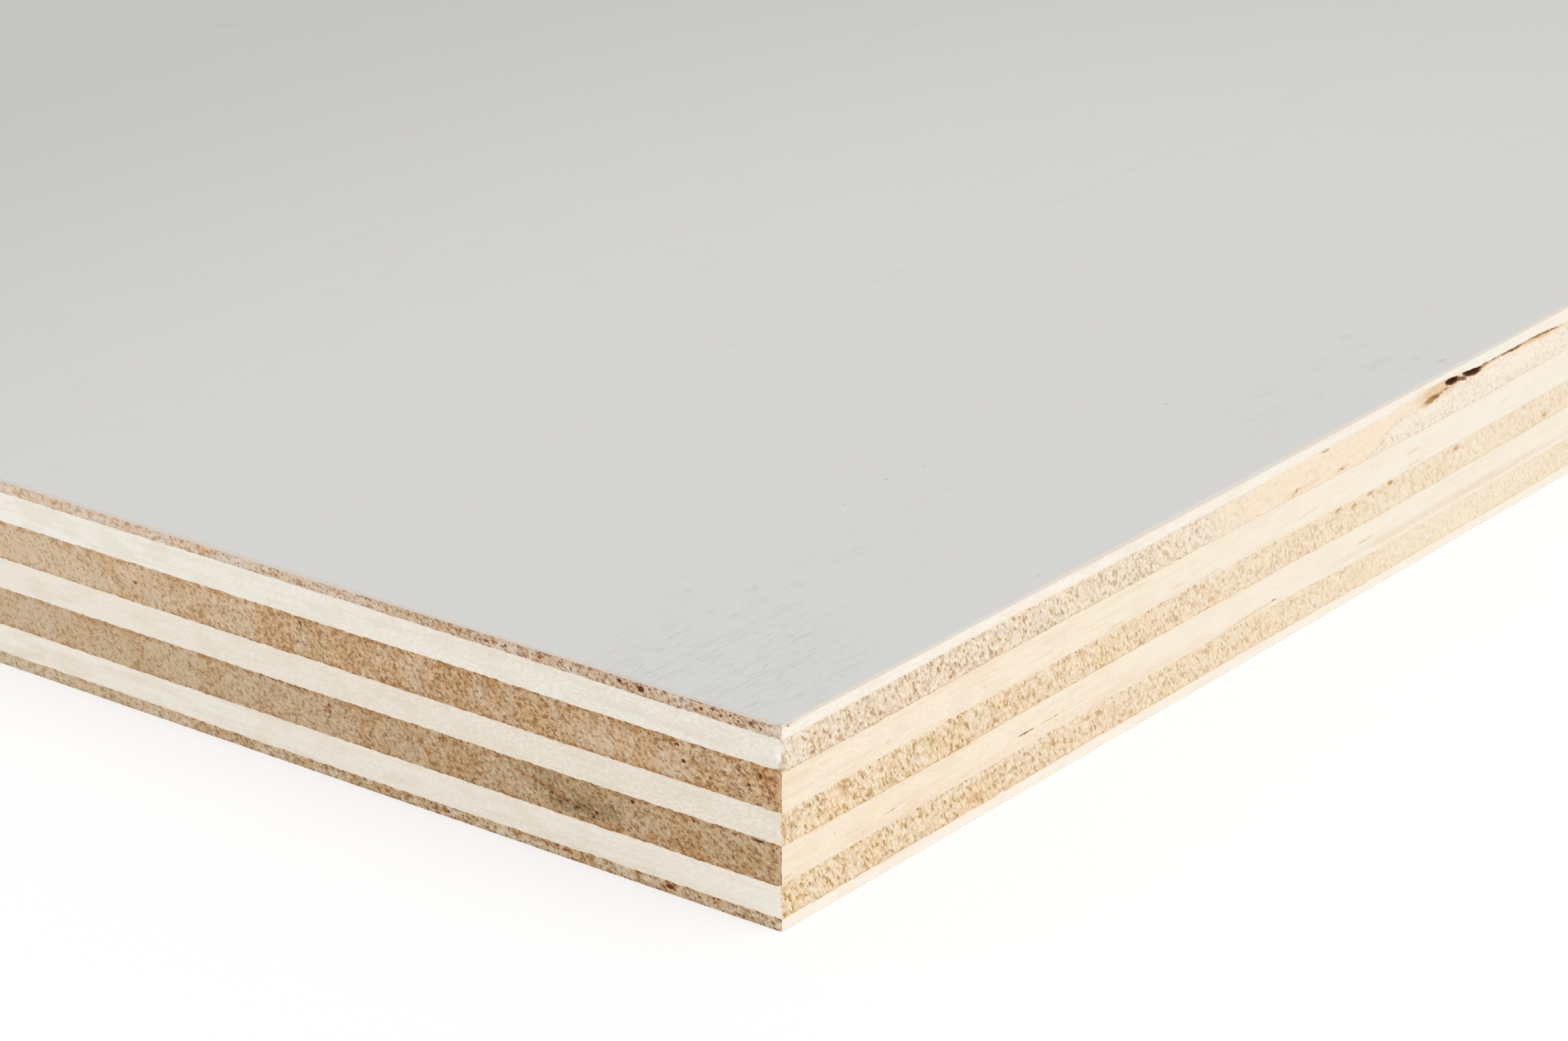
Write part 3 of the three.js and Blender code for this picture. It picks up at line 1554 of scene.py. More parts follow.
    def _step_down(
        self,
        shell: Shell,
        here: np.ndarray,
        after: np.ndarray,
        walk: np.ndarray,
        fold: StripFold,
        slot: int,
    ) -> None:
        """Joins a fine row of points to a coarse one, or a coarse one to a fine one.

        Args:
            shell: The piece.
            here: The numbers of one row's points.
            after: The numbers of the next row's points.
            walk: How far round the sheet both rows are.
            fold: Where the faces lie on the texture.
            slot: The faces' material slot.
        """
        fine, coarse = (here, after) if len(here) > len(after) else (after, here)
        ratio = (len(fine) - 1) // (len(coarse) - 1)
        lows = np.arange(len(coarse) - 1)
        steps = [fine[lows * ratio + k] for k in range(ratio + 1)]
        ups = [(lows * ratio + k) / (len(fine) - 1) for k in range(ratio + 1)]
        ends = [coarse[lows + 1], coarse[lows]]
        end_ups = [(lows + 1) / (len(coarse) - 1), lows / (len(coarse) - 1)]
        corners = np.stack([*steps, *ends], 1)
        shares = np.stack([*ups, *end_ups], 1)
        at = walk[0] if fine is here else walk[1]
        other = walk[1] if fine is here else walk[0]
        ways = np.stack([lows * 0 + at] * (ratio + 1) + [lows * 0 + other] * 2, 1)
        if fine is here:
            corners, shares, ways = corners[:, ::-1], shares[:, ::-1], ways[:, ::-1]
        spots = fold.spots(ways, ways * 0 + walk[0], shares)
        shell.add_faces(corners, spots, slot)

    def _close(
        self,
        shell: Shell,
        outline: Outline,
        stations: Stations,
        rim: np.ndarray,
        places: list[np.ndarray],
        upper: bool,
        strip_top: float,
    ) -> None:
        """Closes the layer above or below, with a ledge behind its sawn sides and a flat in it.

        Args:
            shell: The piece.
            outline: The sheet's outline.
            stations: The rows' places round the sheet.
            rim: The numbers of the points where the sides end.
            places: The rim, the ledge's inner edge and the flat's edge.
            upper: Whether this is the upper face.
            strip_top: How much of the texture the sides take up.
        """
        finish = self.top_finish if upper else self.bottom_finish
        slot = len(Side) + (0 if upper else 1)
        after = np.roll(np.arange(len(rim)), -1)
        numbers = [rim, shell.add_points(places[1]), shell.add_points(places[2])]
        # A ledge that is hidden between two layers has its own side's finish.
        ledge_slots = stations.side if finish is None else slot
        for ring, slots in ((0, ledge_slots), (1, slot)):
            outer, inner = numbers[ring], numbers[ring + 1]
            outer_at, inner_at = places[ring], places[ring + 1]
            quads = np.stack([outer, outer[after], inner[after], inner], 1)
            at = np.stack([outer_at, outer_at[after], inner_at[after], inner_at], 1)
            self._lay(shell, outline, quads, at, slots, upper, strip_top)
        middle = np.array([[0.0, 0.0, places[2][0, 2]]])
        centre = shell.add_points(middle)
        edge, edge_at = numbers[2], places[2]
        fans = np.stack([edge, edge[after], np.repeat(centre, len(rim))], 1)
        at = np.stack([edge_at, edge_at[after], np.repeat(middle, len(rim), 0)], 1)
        self._lay(shell, outline, fans, at, slot, upper, strip_top)

    def _lay(
        self,
        shell: Shell,
        outline: Outline,
        corners: np.ndarray,
        at: np.ndarray,
        slots: np.ndarray | int,
        upper: bool,
        strip_top: float,
    ) -> None:
        """Adds faces of a flat, which lie large on the texture where they show and tiny elsewhere.

        Args:
            shell: The piece.
            outline: The sheet's outline.
            corners: The points' numbers, one row for each face, as the upper face has them.
            at: Each corner's place in millimetres.
            slots: The faces' material slots.
            upper: Whether they are on the upper face.
            strip_top: How much of the texture the sides take up.
        """
        spots = at[..., :2] / (outline.length, outline.width) + 0.5
        if (self.top_finish if upper else self.bottom_finish) is None:
            spots = spots * HIDDEN_SIZE + (HIDDEN_LEFT, strip_top + HIDDEN_LIFT)
        else:
            spots = spots * FLAT_SIZE + FLAT_CORNER
        if not upper:
            corners, spots = corners[:, ::-1], spots[:, ::-1]
        shell.add_faces(corners, spots, slots)


OUTLINE = Outline(2440.0, 1220.0)
OUTLINE_RUNS = {
    Side.FRONT: OUTLINE.length,
    Side.RIGHT: OUTLINE.width,
    Side.BACK: OUTLINE.length,
    Side.LEFT: OUTLINE.width,
}
# How far along each side the corner is at which a walk round the sheet ends it.
SIDE_ENDS = {Side.FRONT: OUTLINE.length, Side.RIGHT: OUTLINE.width, Side.BACK: 0.0, Side.LEFT: 0.0}


# ---------------------------------------------------------------------------------------------
# What marks this sheet: places along a side from the front left corner and heights, in millimetres

RESIN, DARK, PATCH, FADED_AND_LIT = MarkKind

FACE_LEFT = (
    *marks(
        DARK,
        (14.2, 17.2, 0.8, 0.65),
        (16.4, 17.3, 0.6, 0.35, 30, 0.9),
        (6.4, 17.2, 7.0, 0.7, 0, 0.12),
        (2.6, 17.1, 2.4, 0.6, 0, 0.12),
        (15.4, 17.25, 3.0, 0.6, 0, 0.18),
        (29.6, 17.2, 6.0, 0.6, 0, 0.18),
        (13.3, 17.4, 0.4, 0.3, 0, 0.7),
        (8.1, 17.15, 0.5, 0.35, 0, 0.8),
        (7.0, 17.4, 0.35, 0.3, 0, 0.7),
        (6.1, 17.1, 0.35, 0.3, 0, 0.8),
        (5.2, 17.4, 0.4, 0.25, 0, 0.7),
        (4.4, 17.1, 0.4, 0.3, 0, 0.6),
        (3.1, 17.3, 0.5, 0.3, 40, 0.8),
        (2.2, 17.05, 0.5, 0.25, 0, 0.6),
        (24.7, 17.2, 0.5, 0.3, 0, 0.6),
        (28.4, 17.2, 0.5, 0.3, 0, 0.7),
        (30.4, 17.15, 0.5, 0.35, 0, 0.7),
        depth=0.06,
    ),
    *marks(
        RESIN,
        (7.4, 17.0, 3.0, 0.45, 0, 0.5),
        (3.6, 17.0, 3.0, 0.4, 0, 0.5),
        (15.0, 17.2, 2.0, 0.6, 0, 0.5),
        (23.6, 17.25, 3.4, 0.5, 0, 0.4),
        (35.2, 17.15, 1.5, 0.5, 0, 0.9),
        (33.8, 17.3, 2.2, 0.4, 0, 0.5),
        (38.8, 17.3, 1.6, 0.4, 0, 0.6),
        (46.8, 17.35, 1.3, 0.4, 0, 0.6),
        (53.8, 17.1, 3.4, 0.4, 0, 0.5),
        (61.9, 17.2, 2.6, 0.5, 0, 0.7),
        (70.8, 17.2, 2.0, 0.4, 0, 0.4),
        (79.8, 17.25, 1.8, 0.4, 0, 0.6),
        (84.4, 17.05, 1.4, 0.4, 0, 0.7),
    ),
    # A painted highlight: the pale mark on the worn corner arris stands for the light that the edge
    # catches.
    *marks(FADED_AND_LIT, (0.1, 17.35, 1.9, 1.5)),
)
UPPER_CROSS_LEFT = (
    *marks(RESIN, (12.1, 14.9, 8.5, 0.22, 7.3, 0.16), (14.8, 15.6, 8.0, 0.22, 7.4, 0.14)),
    *marks(DARK, (19.8, 16.3, 0.4, 0.3, 0, 0.25), (64.6, 14.0, 0.5, 0.3, 0, 0.2)),
    # A painted highlight: the pale mark on the worn corner arris stands for the light that the edge
    # catches.
    *marks(FADED_AND_LIT, (0.0, 15.3, 0.9, 3.0, 0, 0.8)),
)
UPPER_LONG_LEFT = (
    *marks(
        DARK,
        (9.9, 12.1, 0.5, 0.45),
        (2.2, 13.0, 0.4, 0.55, 0, 0.8),
        (3.3, 11.9, 0.35, 0.4, 0, 0.7),
        (5.7, 12.3, 0.35, 0.3, 0, 0.7),
        (7.2, 11.4, 0.35, 0.3, 0, 0.7),
        (4.3, 12.9, 0.4, 0.3, 0, 0.6),
        (10.6, 13.4, 0.6, 0.3, 0, 0.8),
        (12.6, 12.6, 0.4, 0.3, 0, 0.5),
        (11.2, 13.3, 3.0, 0.5, 0, 0.3),
        (3.4, 13.3, 6.0, 0.5, 0, 0.2),
        (5.0, 12.2, 9.0, 1.8, 0, 0.14),
        (0.8, 12.4, 1.2, 2.4, 0, 0.2),
        (35.4, 12.9, 3.6, 1.3, -20, 0.22),
        (51.1, 13.4, 0.8, 0.35, 55, 0.7),
        (70.3, 12.2, 0.9, 0.45, 0, 0.55),
        depth=0.06,
    ),
    *marks(
        RESIN,
        (1.1, 12.2, 2.4, 3.4, 0, 0.45),
        (0.1, 12.2, 1.1, 4.6, 0, 0.5),
        (11.0, 13.4, 1.8, 0.5, 0, 0.6),
        (11.2, 12.1, 0.6, 1.4, -20, 0.45),
        (30.4, 13.4, 1.2, 0.5, 0, 0.5),
        (33.4, 13.2, 0.9, 0.6, 0, 0.6),
        (34.9, 12.5, 0.5, 1.7, -20, 0.7),
        (36.3, 13.3, 1.6, 0.7, 0, 0.7),
        (37.3, 12.8, 0.4, 0.9, -15, 0.6),
        (44.9, 11.9, 1.2, 0.3, -40, 0.6),
        (46.2, 11.2, 1.6, 0.28, -38, 0.6),
        (45.1, 10.8, 1.8, 0.3, 12, 0.65),
        (47.0, 11.6, 0.9, 0.3, -30, 0.5),
        (49.5, 12.8, 0.9, 0.3, 30, 0.5),
        (70.2, 10.8, 1.3, 0.5, 0, 0.8),
        (73.2, 13.3, 1.1, 0.4, 0, 0.5),
        (79.6, 13.3, 1.7, 0.45, 12, 0.8),
        (76.2, 12.5, 0.8, 0.4, 0, 0.4),
        (62.7, 13.7, 0.9, 0.3, 0, 0.5),
    ),
    *marks(
        FADED_AND_LIT,
        (17.0, 12.0, 15.0, 3.6, 6, 0.45),
        (36.0, 12.0, 8.0, 4.0, 0, 0.25),
        (46.0, 12.2, 12.0, 4.6, 0, 0.4),
        # A painted highlight: the pale mark on the worn corner arris stands for the light that the edge
        # catches.
        (0.0, 12.2, 1.0, 5.4, 0, 1.0),
        (11.1, 11.7, 5.6, 0.36, 28, 1.0),
        (12.4, 11.3, 4.6, 0.3, 28, 1.0),
        (13.8, 11.4, 4.4, 0.34, 28, 0.9),
        (16.2, 11.5, 4.0, 0.3, 30, 0.9),
        (9.2, 11.8, 3.4, 0.3, 30, 0.8),
        (18.6, 12.0, 4.0, 0.3, 28, 0.7),
        (62.0, 12.2, 3.4, 0.3, 33, 0.8),
        (60.4, 11.5, 2.4, 0.25, 33, 0.6),
        (78.6, 12.0, 5.4, 0.35, 26, 0.9),
        (75.8, 11.4, 3.4, 0.3, 26, 0.7),
        (52.5, 12.4, 4.0, 1.2, 25, 0.5),
    ),
)
CORE_CROSS_LEFT = marks(
    DARK,
    (3.7, 8.5, 0.3, 0.25, 0, 0.3),
    (8.0, 9.6, 0.3, 0.2, 0, 0.3),
    (36.0, 9.7, 0.35, 0.25, 0, 0.45),
    (46.0, 9.8, 0.3, 0.25, 0, 0.35),
    (57.4, 9.9, 0.3, 0.2, 0, 0.3),
    (70.4, 8.9, 0.3, 0.25, 0, 0.4),
)
LOWER_LONG_LEFT = (
    *marks(PATCH, (22.0, 6.4, 13.0, 2.4, 0, 0.45), (20.4, 5.1, 9.0, 1.8, -3, 0.9)),
    *marks(
        DARK,
        (2.4, 7.3, 1.5, 0.35, 0, 0.9),
        (0.8, 6.8, 0.4, 0.4, 0, 0.8),
        (4.6, 7.2, 0.9, 0.25, 0, 0.6),
        (8.9, 7.15, 0.4, 0.3, 0, 0.6),
        (10.9, 7.2, 0.6, 0.25, 0, 0.6),
        (15.2, 7.05, 0.55, 0.45, 0, 0.9),
        (17.1, 6.0, 0.9, 0.3, 0, 0.5),
        (18.9, 5.0, 0.5, 0.4, 0, 0.9),
        (19.3, 4.5, 0.5, 0.3, 0, 0.8),
        (20.2, 5.25, 0.5, 0.3, 0, 0.8),
        (21.0, 4.9, 0.6, 0.35, 0, 0.9),
        (22.0, 5.3, 0.7, 0.3, 0, 0.9),
        (22.8, 4.9, 0.4, 0.3, 0, 0.7),
        (23.6, 5.5, 0.5, 0.3, 0, 0.8),
        (24.6, 5.9, 0.6, 0.25, 0, 0.7),
        (18.0, 5.4, 0.4, 0.3, 0, 0.6),
        (20.6, 5.1, 7.0, 1.1, -4, 0.22),
        (25.4, 6.1, 7.0, 0.4, 13, 0.4),
        (20.0, 4.6, 5.0, 0.5, 0, 0.25),
        (12.6, 4.5, 9.0, 0.5, 0, 0.2),
        (9.0, 7.1, 12.0, 0.4, 0, 0.2),
        (21.0, 7.0, 12.0, 0.5, 0, 0.2),
        (48.3, 6.2, 1.4, 1.8, 0, 0.22),
        (35.5, 7.05, 0.5, 0.4, 0, 0.5),
        (48.1, 6.3, 0.6, 1.4, 0, 0.5),
        (50.1, 6.4, 0.4, 0.8, 0, 0.4),
        (54.0, 7.35, 9.0, 0.2, 0, 0.5),
        depth=0.05,
    ),
    *marks(
        RESIN,
        (0.1, 5.8, 1.0, 4.6, 0, 0.5),
        (9.5, 4.35, 13.0, 0.6, 3, 0.45),
        (13.2, 4.4, 1.6, 0.4, 0, 0.8),
        (5.6, 4.3, 1.6, 0.35, 0, 0.5),
        (25.0, 6.0, 8.0, 0.45, 13, 0.9),
        (30.6, 7.1, 1.4, 0.4, 0, 0.7),
        (35.4, 7.0, 1.6, 0.6, 0, 0.8),
        (46.6, 7.1, 2.2, 0.4, 0, 0.5),
        (50.2, 7.2, 1.7, 0.3, 0, 0.6),
        (54.6, 6.8, 1.8, 0.35, 0, 0.6),
        (57.2, 7.15, 1.7, 0.3, 0, 0.5),
        (62.5, 7.15, 1.4, 0.45, 0, 0.8),
        (69.0, 7.15, 1.2, 0.4, 0, 0.8),
        (75.5, 7.0, 1.0, 0.5, 0, 0.8),
    ),
    *marks(
        FADED_AND_LIT,
        # A painted highlight: the pale mark on the worn corner arris stands for the light that the edge
        # catches.
        (0.0, 5.8, 0.9, 5.4),
        (54.2, 6.9, 0.8, 0.4),
        (60.5, 5.2, 4.0, 1.4, 20, 0.5),
        (76.6, 5.8, 1.6, 0.8),
    ),
)
BACK_LEFT = (
    *marks(
        DARK,
        (11.4, 0.6, 0.9, 0.5, 0, 0.9),
        (28.0, 0.55, 13.0, 1.8, 0, 0.14),
        (22.4, 0.7, 0.6, 0.3, 0, 0.6),
        (24.0, 0.75, 0.6, 0.3, 0, 0.6),
        (35.0, 0.5, 0.6, 0.3, 0, 0.6),
        depth=0.05,
    ),
    *marks(
        RESIN,
        (11.4, 0.65, 2.4, 0.6, 0, 0.6),
        (23.4, 0.75, 5.0, 0.5, 0, 0.55),
        (27.4, 0.75, 1.4, 0.4, 0, 0.6),
        (36.0, 0.5, 3.0, 0.4, 0, 0.5),
        (42.0, 0.5, 4.0, 0.4, 0, 0.5),
        (50.5, 0.5, 3.0, 0.45, 0, 0.5),
        (61.0, 0.5, 3.0, 0.5, 0, 0.4),
        (70.0, 0.6, 3.0, 0.4, 0, 0.4),
    ),
)

FACE_FRONT = (
    *marks(DARK, (0.7, 17.62, 0.6, 0.3, 0, 0.6), depth=0.05),
    *marks(RESIN, (1.2, 17.65, 2.2, 0.35, 0, 0.5), (20.0, 17.05, 34.0, 0.14, 0, 0.12)),
)
UPPER_CROSS_FRONT = (
    Lap(
        begins=(57.0, 67.0),
        seam=(
            (86.0, 13.0),
            (88.2, 13.6),
            (90.7, 14.9),
            (93.8, 15.5),
            (96.9, 15.8),
            (98.5, 16.1),
            (101.5, 16.4),
            (104.5, 16.8),
            (107.0, 17.6),
        ),
    ),
    *marks(
        FADED_AND_LIT,
        (1.0, 15.3, 3.4, 3.6, 0, 0.3),
        (97.0, 14.7, 16.0, 1.6, 4, 0.9),
        (115.0, 15.0, 22.0, 2.6, 0, 0.9),
    ),
    *marks(
        RESIN,
        (4.0, 15.3, 0.7, 0.5, 0, 0.5),
        (10.0, 15.7, 0.6, 0.6, 0, 0.5),
        (15.8, 15.9, 0.8, 0.5, 0, 0.6),
        (16.0, 14.5, 0.5, 0.5, 0, 0.4),
        (23.0, 14.2, 1.0, 0.5, 0, 0.9),
        (7.6, 14.15, 0.8, 0.3, 0, 0.6),
        (12.6, 14.2, 1.0, 0.35, 0, 0.6),
        (29.5, 14.2, 1.2, 0.35, 0, 0.6),
        (32.5, 15.5, 0.8, 0.4, 0, 0.6),
        (36.5, 14.3, 0.8, 0.4, 0, 0.4),
        (39.8, 16.0, 0.8, 0.4, 0, 0.4),
        (51.8, 15.7, 0.8, 0.6, 0, 0.6),
        (54.2, 14.8, 0.8, 0.6, 0, 0.6),
        (56.0, 14.4, 1.0, 0.4, 0, 0.4),
        (75.2, 13.85, 1.3, 0.45, 25, 0.8),
        (76.6, 14.3, 2.6, 0.18, 38, 0.5),
        (78.7, 15.2, 2.2, 0.16, 38, 0.3),
        (78.6, 14.6, 0.8, 0.4, 0, 0.4),
        (76.5, 14.0, 7.0, 0.3, 0, 0.4),
        (83.2, 13.7, 2.4, 0.4, 0, 0.5),
        (65.8, 14.7, 1.0, 0.3, -30, 0.3),
        (96.5, 16.15, 3.4, 0.22, -16, 0.4),
        (98.9, 15.8, 4.2, 1.0, 5, 1.0),
        (100.2, 16.4, 8.0, 1.7, 0, 0.8),
        (92.0, 15.2, 7.0, 0.2, 14, 0.35),
        (109.4, 16.4, 5.0, 0.5, 0, 0.8),
        (115.5, 16.4, 17.0, 0.6, -2, 0.9),
    ),
    *marks(
        DARK,
        (4.0, 14.2, 0.6, 0.4, 0, 0.6),
        (23.0, 14.2, 0.5, 0.35, 0, 0.5),
        (75.3, 13.9, 1.2, 0.5, 20, 0.4),
        (80.2, 16.3, 2.1, 0.45, -4, 0.48),
        (79.0, 16.4, 4.6, 0.2, 0, 0.35),
        (83.2, 13.7, 1.9, 0.3, -8, 0.42),
        (98.9, 15.72, 3.4, 0.8, 4, 0.6),
        (102.6, 16.45, 3.0, 0.85, -5),
        (106.2, 16.4, 4.2, 1.15, -7),
        depth=0.1,
    ),
    *marks(DARK, (102.6, 16.45, 2.2, 0.5, -5), (106.3, 16.4, 3.0, 0.7, -7), depth=0.35),
    *marks(
        DARK,
        (101.0, 15.95, 2.0, 0.3, 8, 0.6),
        (104.3, 16.15, 2.4, 0.5, -12, 0.7),
        (109.6, 16.42, 5.0, 0.46, 0, 0.52),
        (113.6, 16.38, 5.8, 0.52, 0, 0.62),
        (119.0, 16.4, 8.4, 0.52, -3, 0.54),
        depth=0.12,
    ),
)
UPPER_LONG_FRONT = marks(
    RESIN,
    (6.0, 13.0, 0.4, 0.2, 0, 0.3),
    (9.6, 10.9, 0.3, 0.3, 0, 0.4),
    (14.0, 11.5, 0.5, 0.25, 0, 0.5),
    (47.0, 10.6, 2.6, 0.18, 0, 0.6),
    (56.5, 11.1, 2.4, 0.18, 0, 0.5),
    (61.5, 10.5, 4.0, 0.16, 0, 0.6),
    (77.5, 11.15, 4.0, 0.18, 2, 0.6),
    (95.8, 11.6, 2.8, 0.26, 0, 0.5),
    (95.8, 10.3, 3.6, 0.2, 0, 0.5),
    (112.5, 11.6, 1.6, 0.2, 0, 0.3),
)
CORE_CROSS_FRONT = (
    *marks(
        RESIN,
        (0.4, 8.9, 0.7, 2.8, 0, 0.55),
        (3.2, 9.9, 0.7, 0.5, 0, 0.8),
        (8.6, 10.0, 0.8, 0.5, 0, 0.8),
        (18.6, 10.0, 0.9, 0.4, 0, 0.5),
        (30.8, 9.8, 0.9, 0.5, 0, 0.95),
        (42.2, 8.9, 0.8, 0.6, 0, 0.5),
        (60.5, 9.6, 1.4, 0.5, -20, 0.7),
        (61.9, 8.0, 1.2, 0.5, -20, 0.7),
        (66.4, 9.4, 0.9, 0.5, 0, 0.6),
        (82.7, 9.75, 1.3, 0.5, 0, 0.9),
        (85.7, 9.3, 1.1, 0.5, 0, 0.85),
        (88.3, 9.65, 1.2, 0.5, 0, 0.85),
        (91.9, 9.6, 1.3, 0.5, 0, 0.95),
        (103.8, 9.35, 1.4, 0.6, 0, 0.95),
        (120.6, 7.7, 1.4, 0.5, 0, 0.95),
    ),
    *marks(
        DARK,
        (42.2, 8.8, 0.4, 0.3, 0, 0.35),
        (82.7, 9.75, 1.0, 0.4, 0, 0.46),
        (85.7, 9.3, 0.8, 0.4, 0, 0.4),
        (88.3, 9.65, 0.9, 0.4, 0, 0.42),
        (91.9, 9.6, 1.0, 0.4, 0, 0.46),
        (103.8, 9.35, 1.1, 0.5, 0, 0.46),
        (120.6, 7.7, 1.1, 0.4, 0, 0.46),
        depth=0.05,
    ),
)
LOWER_LONG_FRONT = (
    *marks(
        RESIN,
        (0.7, 4.6, 1.6, 0.16, 8, 0.8),
        (9.0, 5.27, 4.0, 0.12, 0, 0.4),
        (39.0, 5.3, 9.0, 0.14, 0, 0.5),
        (24.5, 7.2, 5.0, 0.2, -3, 0.5),
        (5.0, 7.3, 3.0, 0.3, 0, 0.3),
        (68.0, 4.3, 10.0, 0.22, 2, 0.6),
        (87.7, 5.27, 3.0, 0.2, 0, 0.7),
        (104.0, 4.45, 46.0, 0.9, 0, 0.3),
        (28.0, 4.6, 66.0, 1.0, 0, 0.14),
    ),
    *marks(FADED_AND_LIT, (72.0, 5.9, 46.0, 2.6, 0, 0.55)),
    *marks(
        DARK,
        (14.5, 5.2, 2.3, 0.2, 0, 0.6),
        (10.5, 5.25, 4.0, 0.12, 0, 0.3),
        (33.6, 5.3, 3.2, 0.24, 0, 0.7),
        (37.5, 5.3, 4.4, 0.16, 0, 0.45),
        (72.2, 4.5, 1.2, 0.26, 0, 0.5),
        (66.5, 4.35, 8.0, 0.2, 2, 0.25),
        depth=0.05,
    ),
)
LOWER_CROSS_FRONT = (
    *marks(
        RESIN,
        (2.9, 2.2, 0.8, 0.6, 0, 0.5),
        (8.2, 3.6, 0.5, 0.4, 0, 0.5),
        (26.5, 1.9, 3.4, 0.6, 0, 0.6),
        (27.6, 3.2, 1.0, 0.5, 30, 0.6),
        (30.8, 3.5, 0.9, 0.5, 0, 0.7),
        (38.5, 2.6, 7.0, 0.22, -18, 0.6),
        (64.9, 3.3, 1.2, 0.4, -20, 0.5),
        (75.4, 3.2, 1.4, 0.5, 0, 0.5),
        (83.5, 3.4, 2.4, 0.25, -12, 0.5),
    ),
    *marks(
        FADED_AND_LIT,
        (66.0, 3.0, 2.4, 0.7, -15, 0.9),
        (45.0, 3.7, 60.0, 0.6, 0, 0.45),
        (106.0, 2.6, 46.0, 5.0, 0, 0.9),
    ),
)


# ---------------------------------------------------------------------------------------------
# The sheet


# How the saw leaves end grain across the sheet, end grain along it, and a cut along the fibres.
TORN = Tear((0.34, 0.38), 0.02, 0.1, 0.1)
SANDED = Tear((0.3, 0.3), 0.02, 0.035, 0.03)
PLANED = Tear((3.0, 0.3), 0.01, 0.012, 0.0)

# How much paler each cut is drawn by the front left corner and 115 mm from it.
PALED_LEFT = (0.0, 1.0)
PALED_CREAM = (0.0, 0.7)
PALED_STRAW = (0.0, 0.75)


@dataclass(frozen=True)
class Veneer:
    """One veneer: its node and which way its grain runs, with its own tints and blemishes."""

    node: str
    grain: Grain
    seed: int
    end: BrownEnd | StrawEnd
    side: LongGrain
    front_marks: tuple[Mark | Lap, ...] = ()
    left_marks: tuple[Mark, ...] = ()
    rows: int = 32
    worn_corner_mm: float = 0.08
    bottom_finish: PeeledFace | None = None

    def layer(self, bottom: GlueLine, top: GlueLine) -> Layer:
        """Lays the veneer between two glue lines.

        Args:
            bottom: The line under it.
            top: The line over it.

        Returns:
            The layer, ready to build.
        """
        torn, sanded, planed = (replace(cut, seed=self.seed) for cut in (TORN, SANDED, PLANED))
        end = replace(self.end, name=self.node + "_end", seed=self.seed * 3.7)
        side = replace(self.side, name=self.node + "_side", seed=self.seed * 2.3)
        if self.grain is Grain.ALONG_X:
            long_face = Face(planed, side, self.front_marks, PALED_CREAM)
            short_face = Face(sanded, end, self.left_marks, PALED_LEFT)
        else:
            long_face = Face(torn, end, self.front_marks, PALED_STRAW)
            short_face = Face(planed, side, self.left_marks, PALED_LEFT)
        return Layer(
            node=self.node,
            slot="long_grain_veneer" if self.grain is Grain.ALONG_X else "cross_grain_veneer",
            bottom=bottom,
            top=top,
            rows=self.rows,
            worn_corner_mm=self.worn_corner_mm,
            bottom_finish=self.bottom_finish,
            faces={
                Side.FRONT: long_face,
                Side.BACK: replace(long_face, marks=()),
                Side.LEFT: short_face,
                Side.RIGHT: replace(short_face, marks=()),
            },
        )


WHITE_SIDE = LongGrain(
    name="white_side",
    grain=Grain.ALONG_Y,
    body=paint(239, 231, 215),
    pale=paint(254, 250, 240),
    line=paint(232, 220, 198),
    fleck=paint(204, 192, 168),
    faded_and_lit=paint(254, 251, 241),
    line_share=0.3,
)
CREAM_SIDE = LongGrain(
    name="cream_side",
    grain=Grain.ALONG_X,
    body=paint(246, 229, 205),
    pale=paint(252, 239, 218),
    line=paint(238, 215, 184),
    fleck=paint(224, 196, 158),
    faded_and_lit=paint(246, 239, 225),
    veil_share=0.8,
    blemishes=BlemishTones((0.76, 0.54, 0.32), paint(170, 128, 84), paint(120, 84, 54)),
)
BROWN_END = BrownEnd("brown_end")
STRAW_END = StrawEnd(
    "straw_end", blemishes=BlemishTones((0.78, 0.55, 0.28), paint(172, 128, 78), paint(84, 50, 32))
)

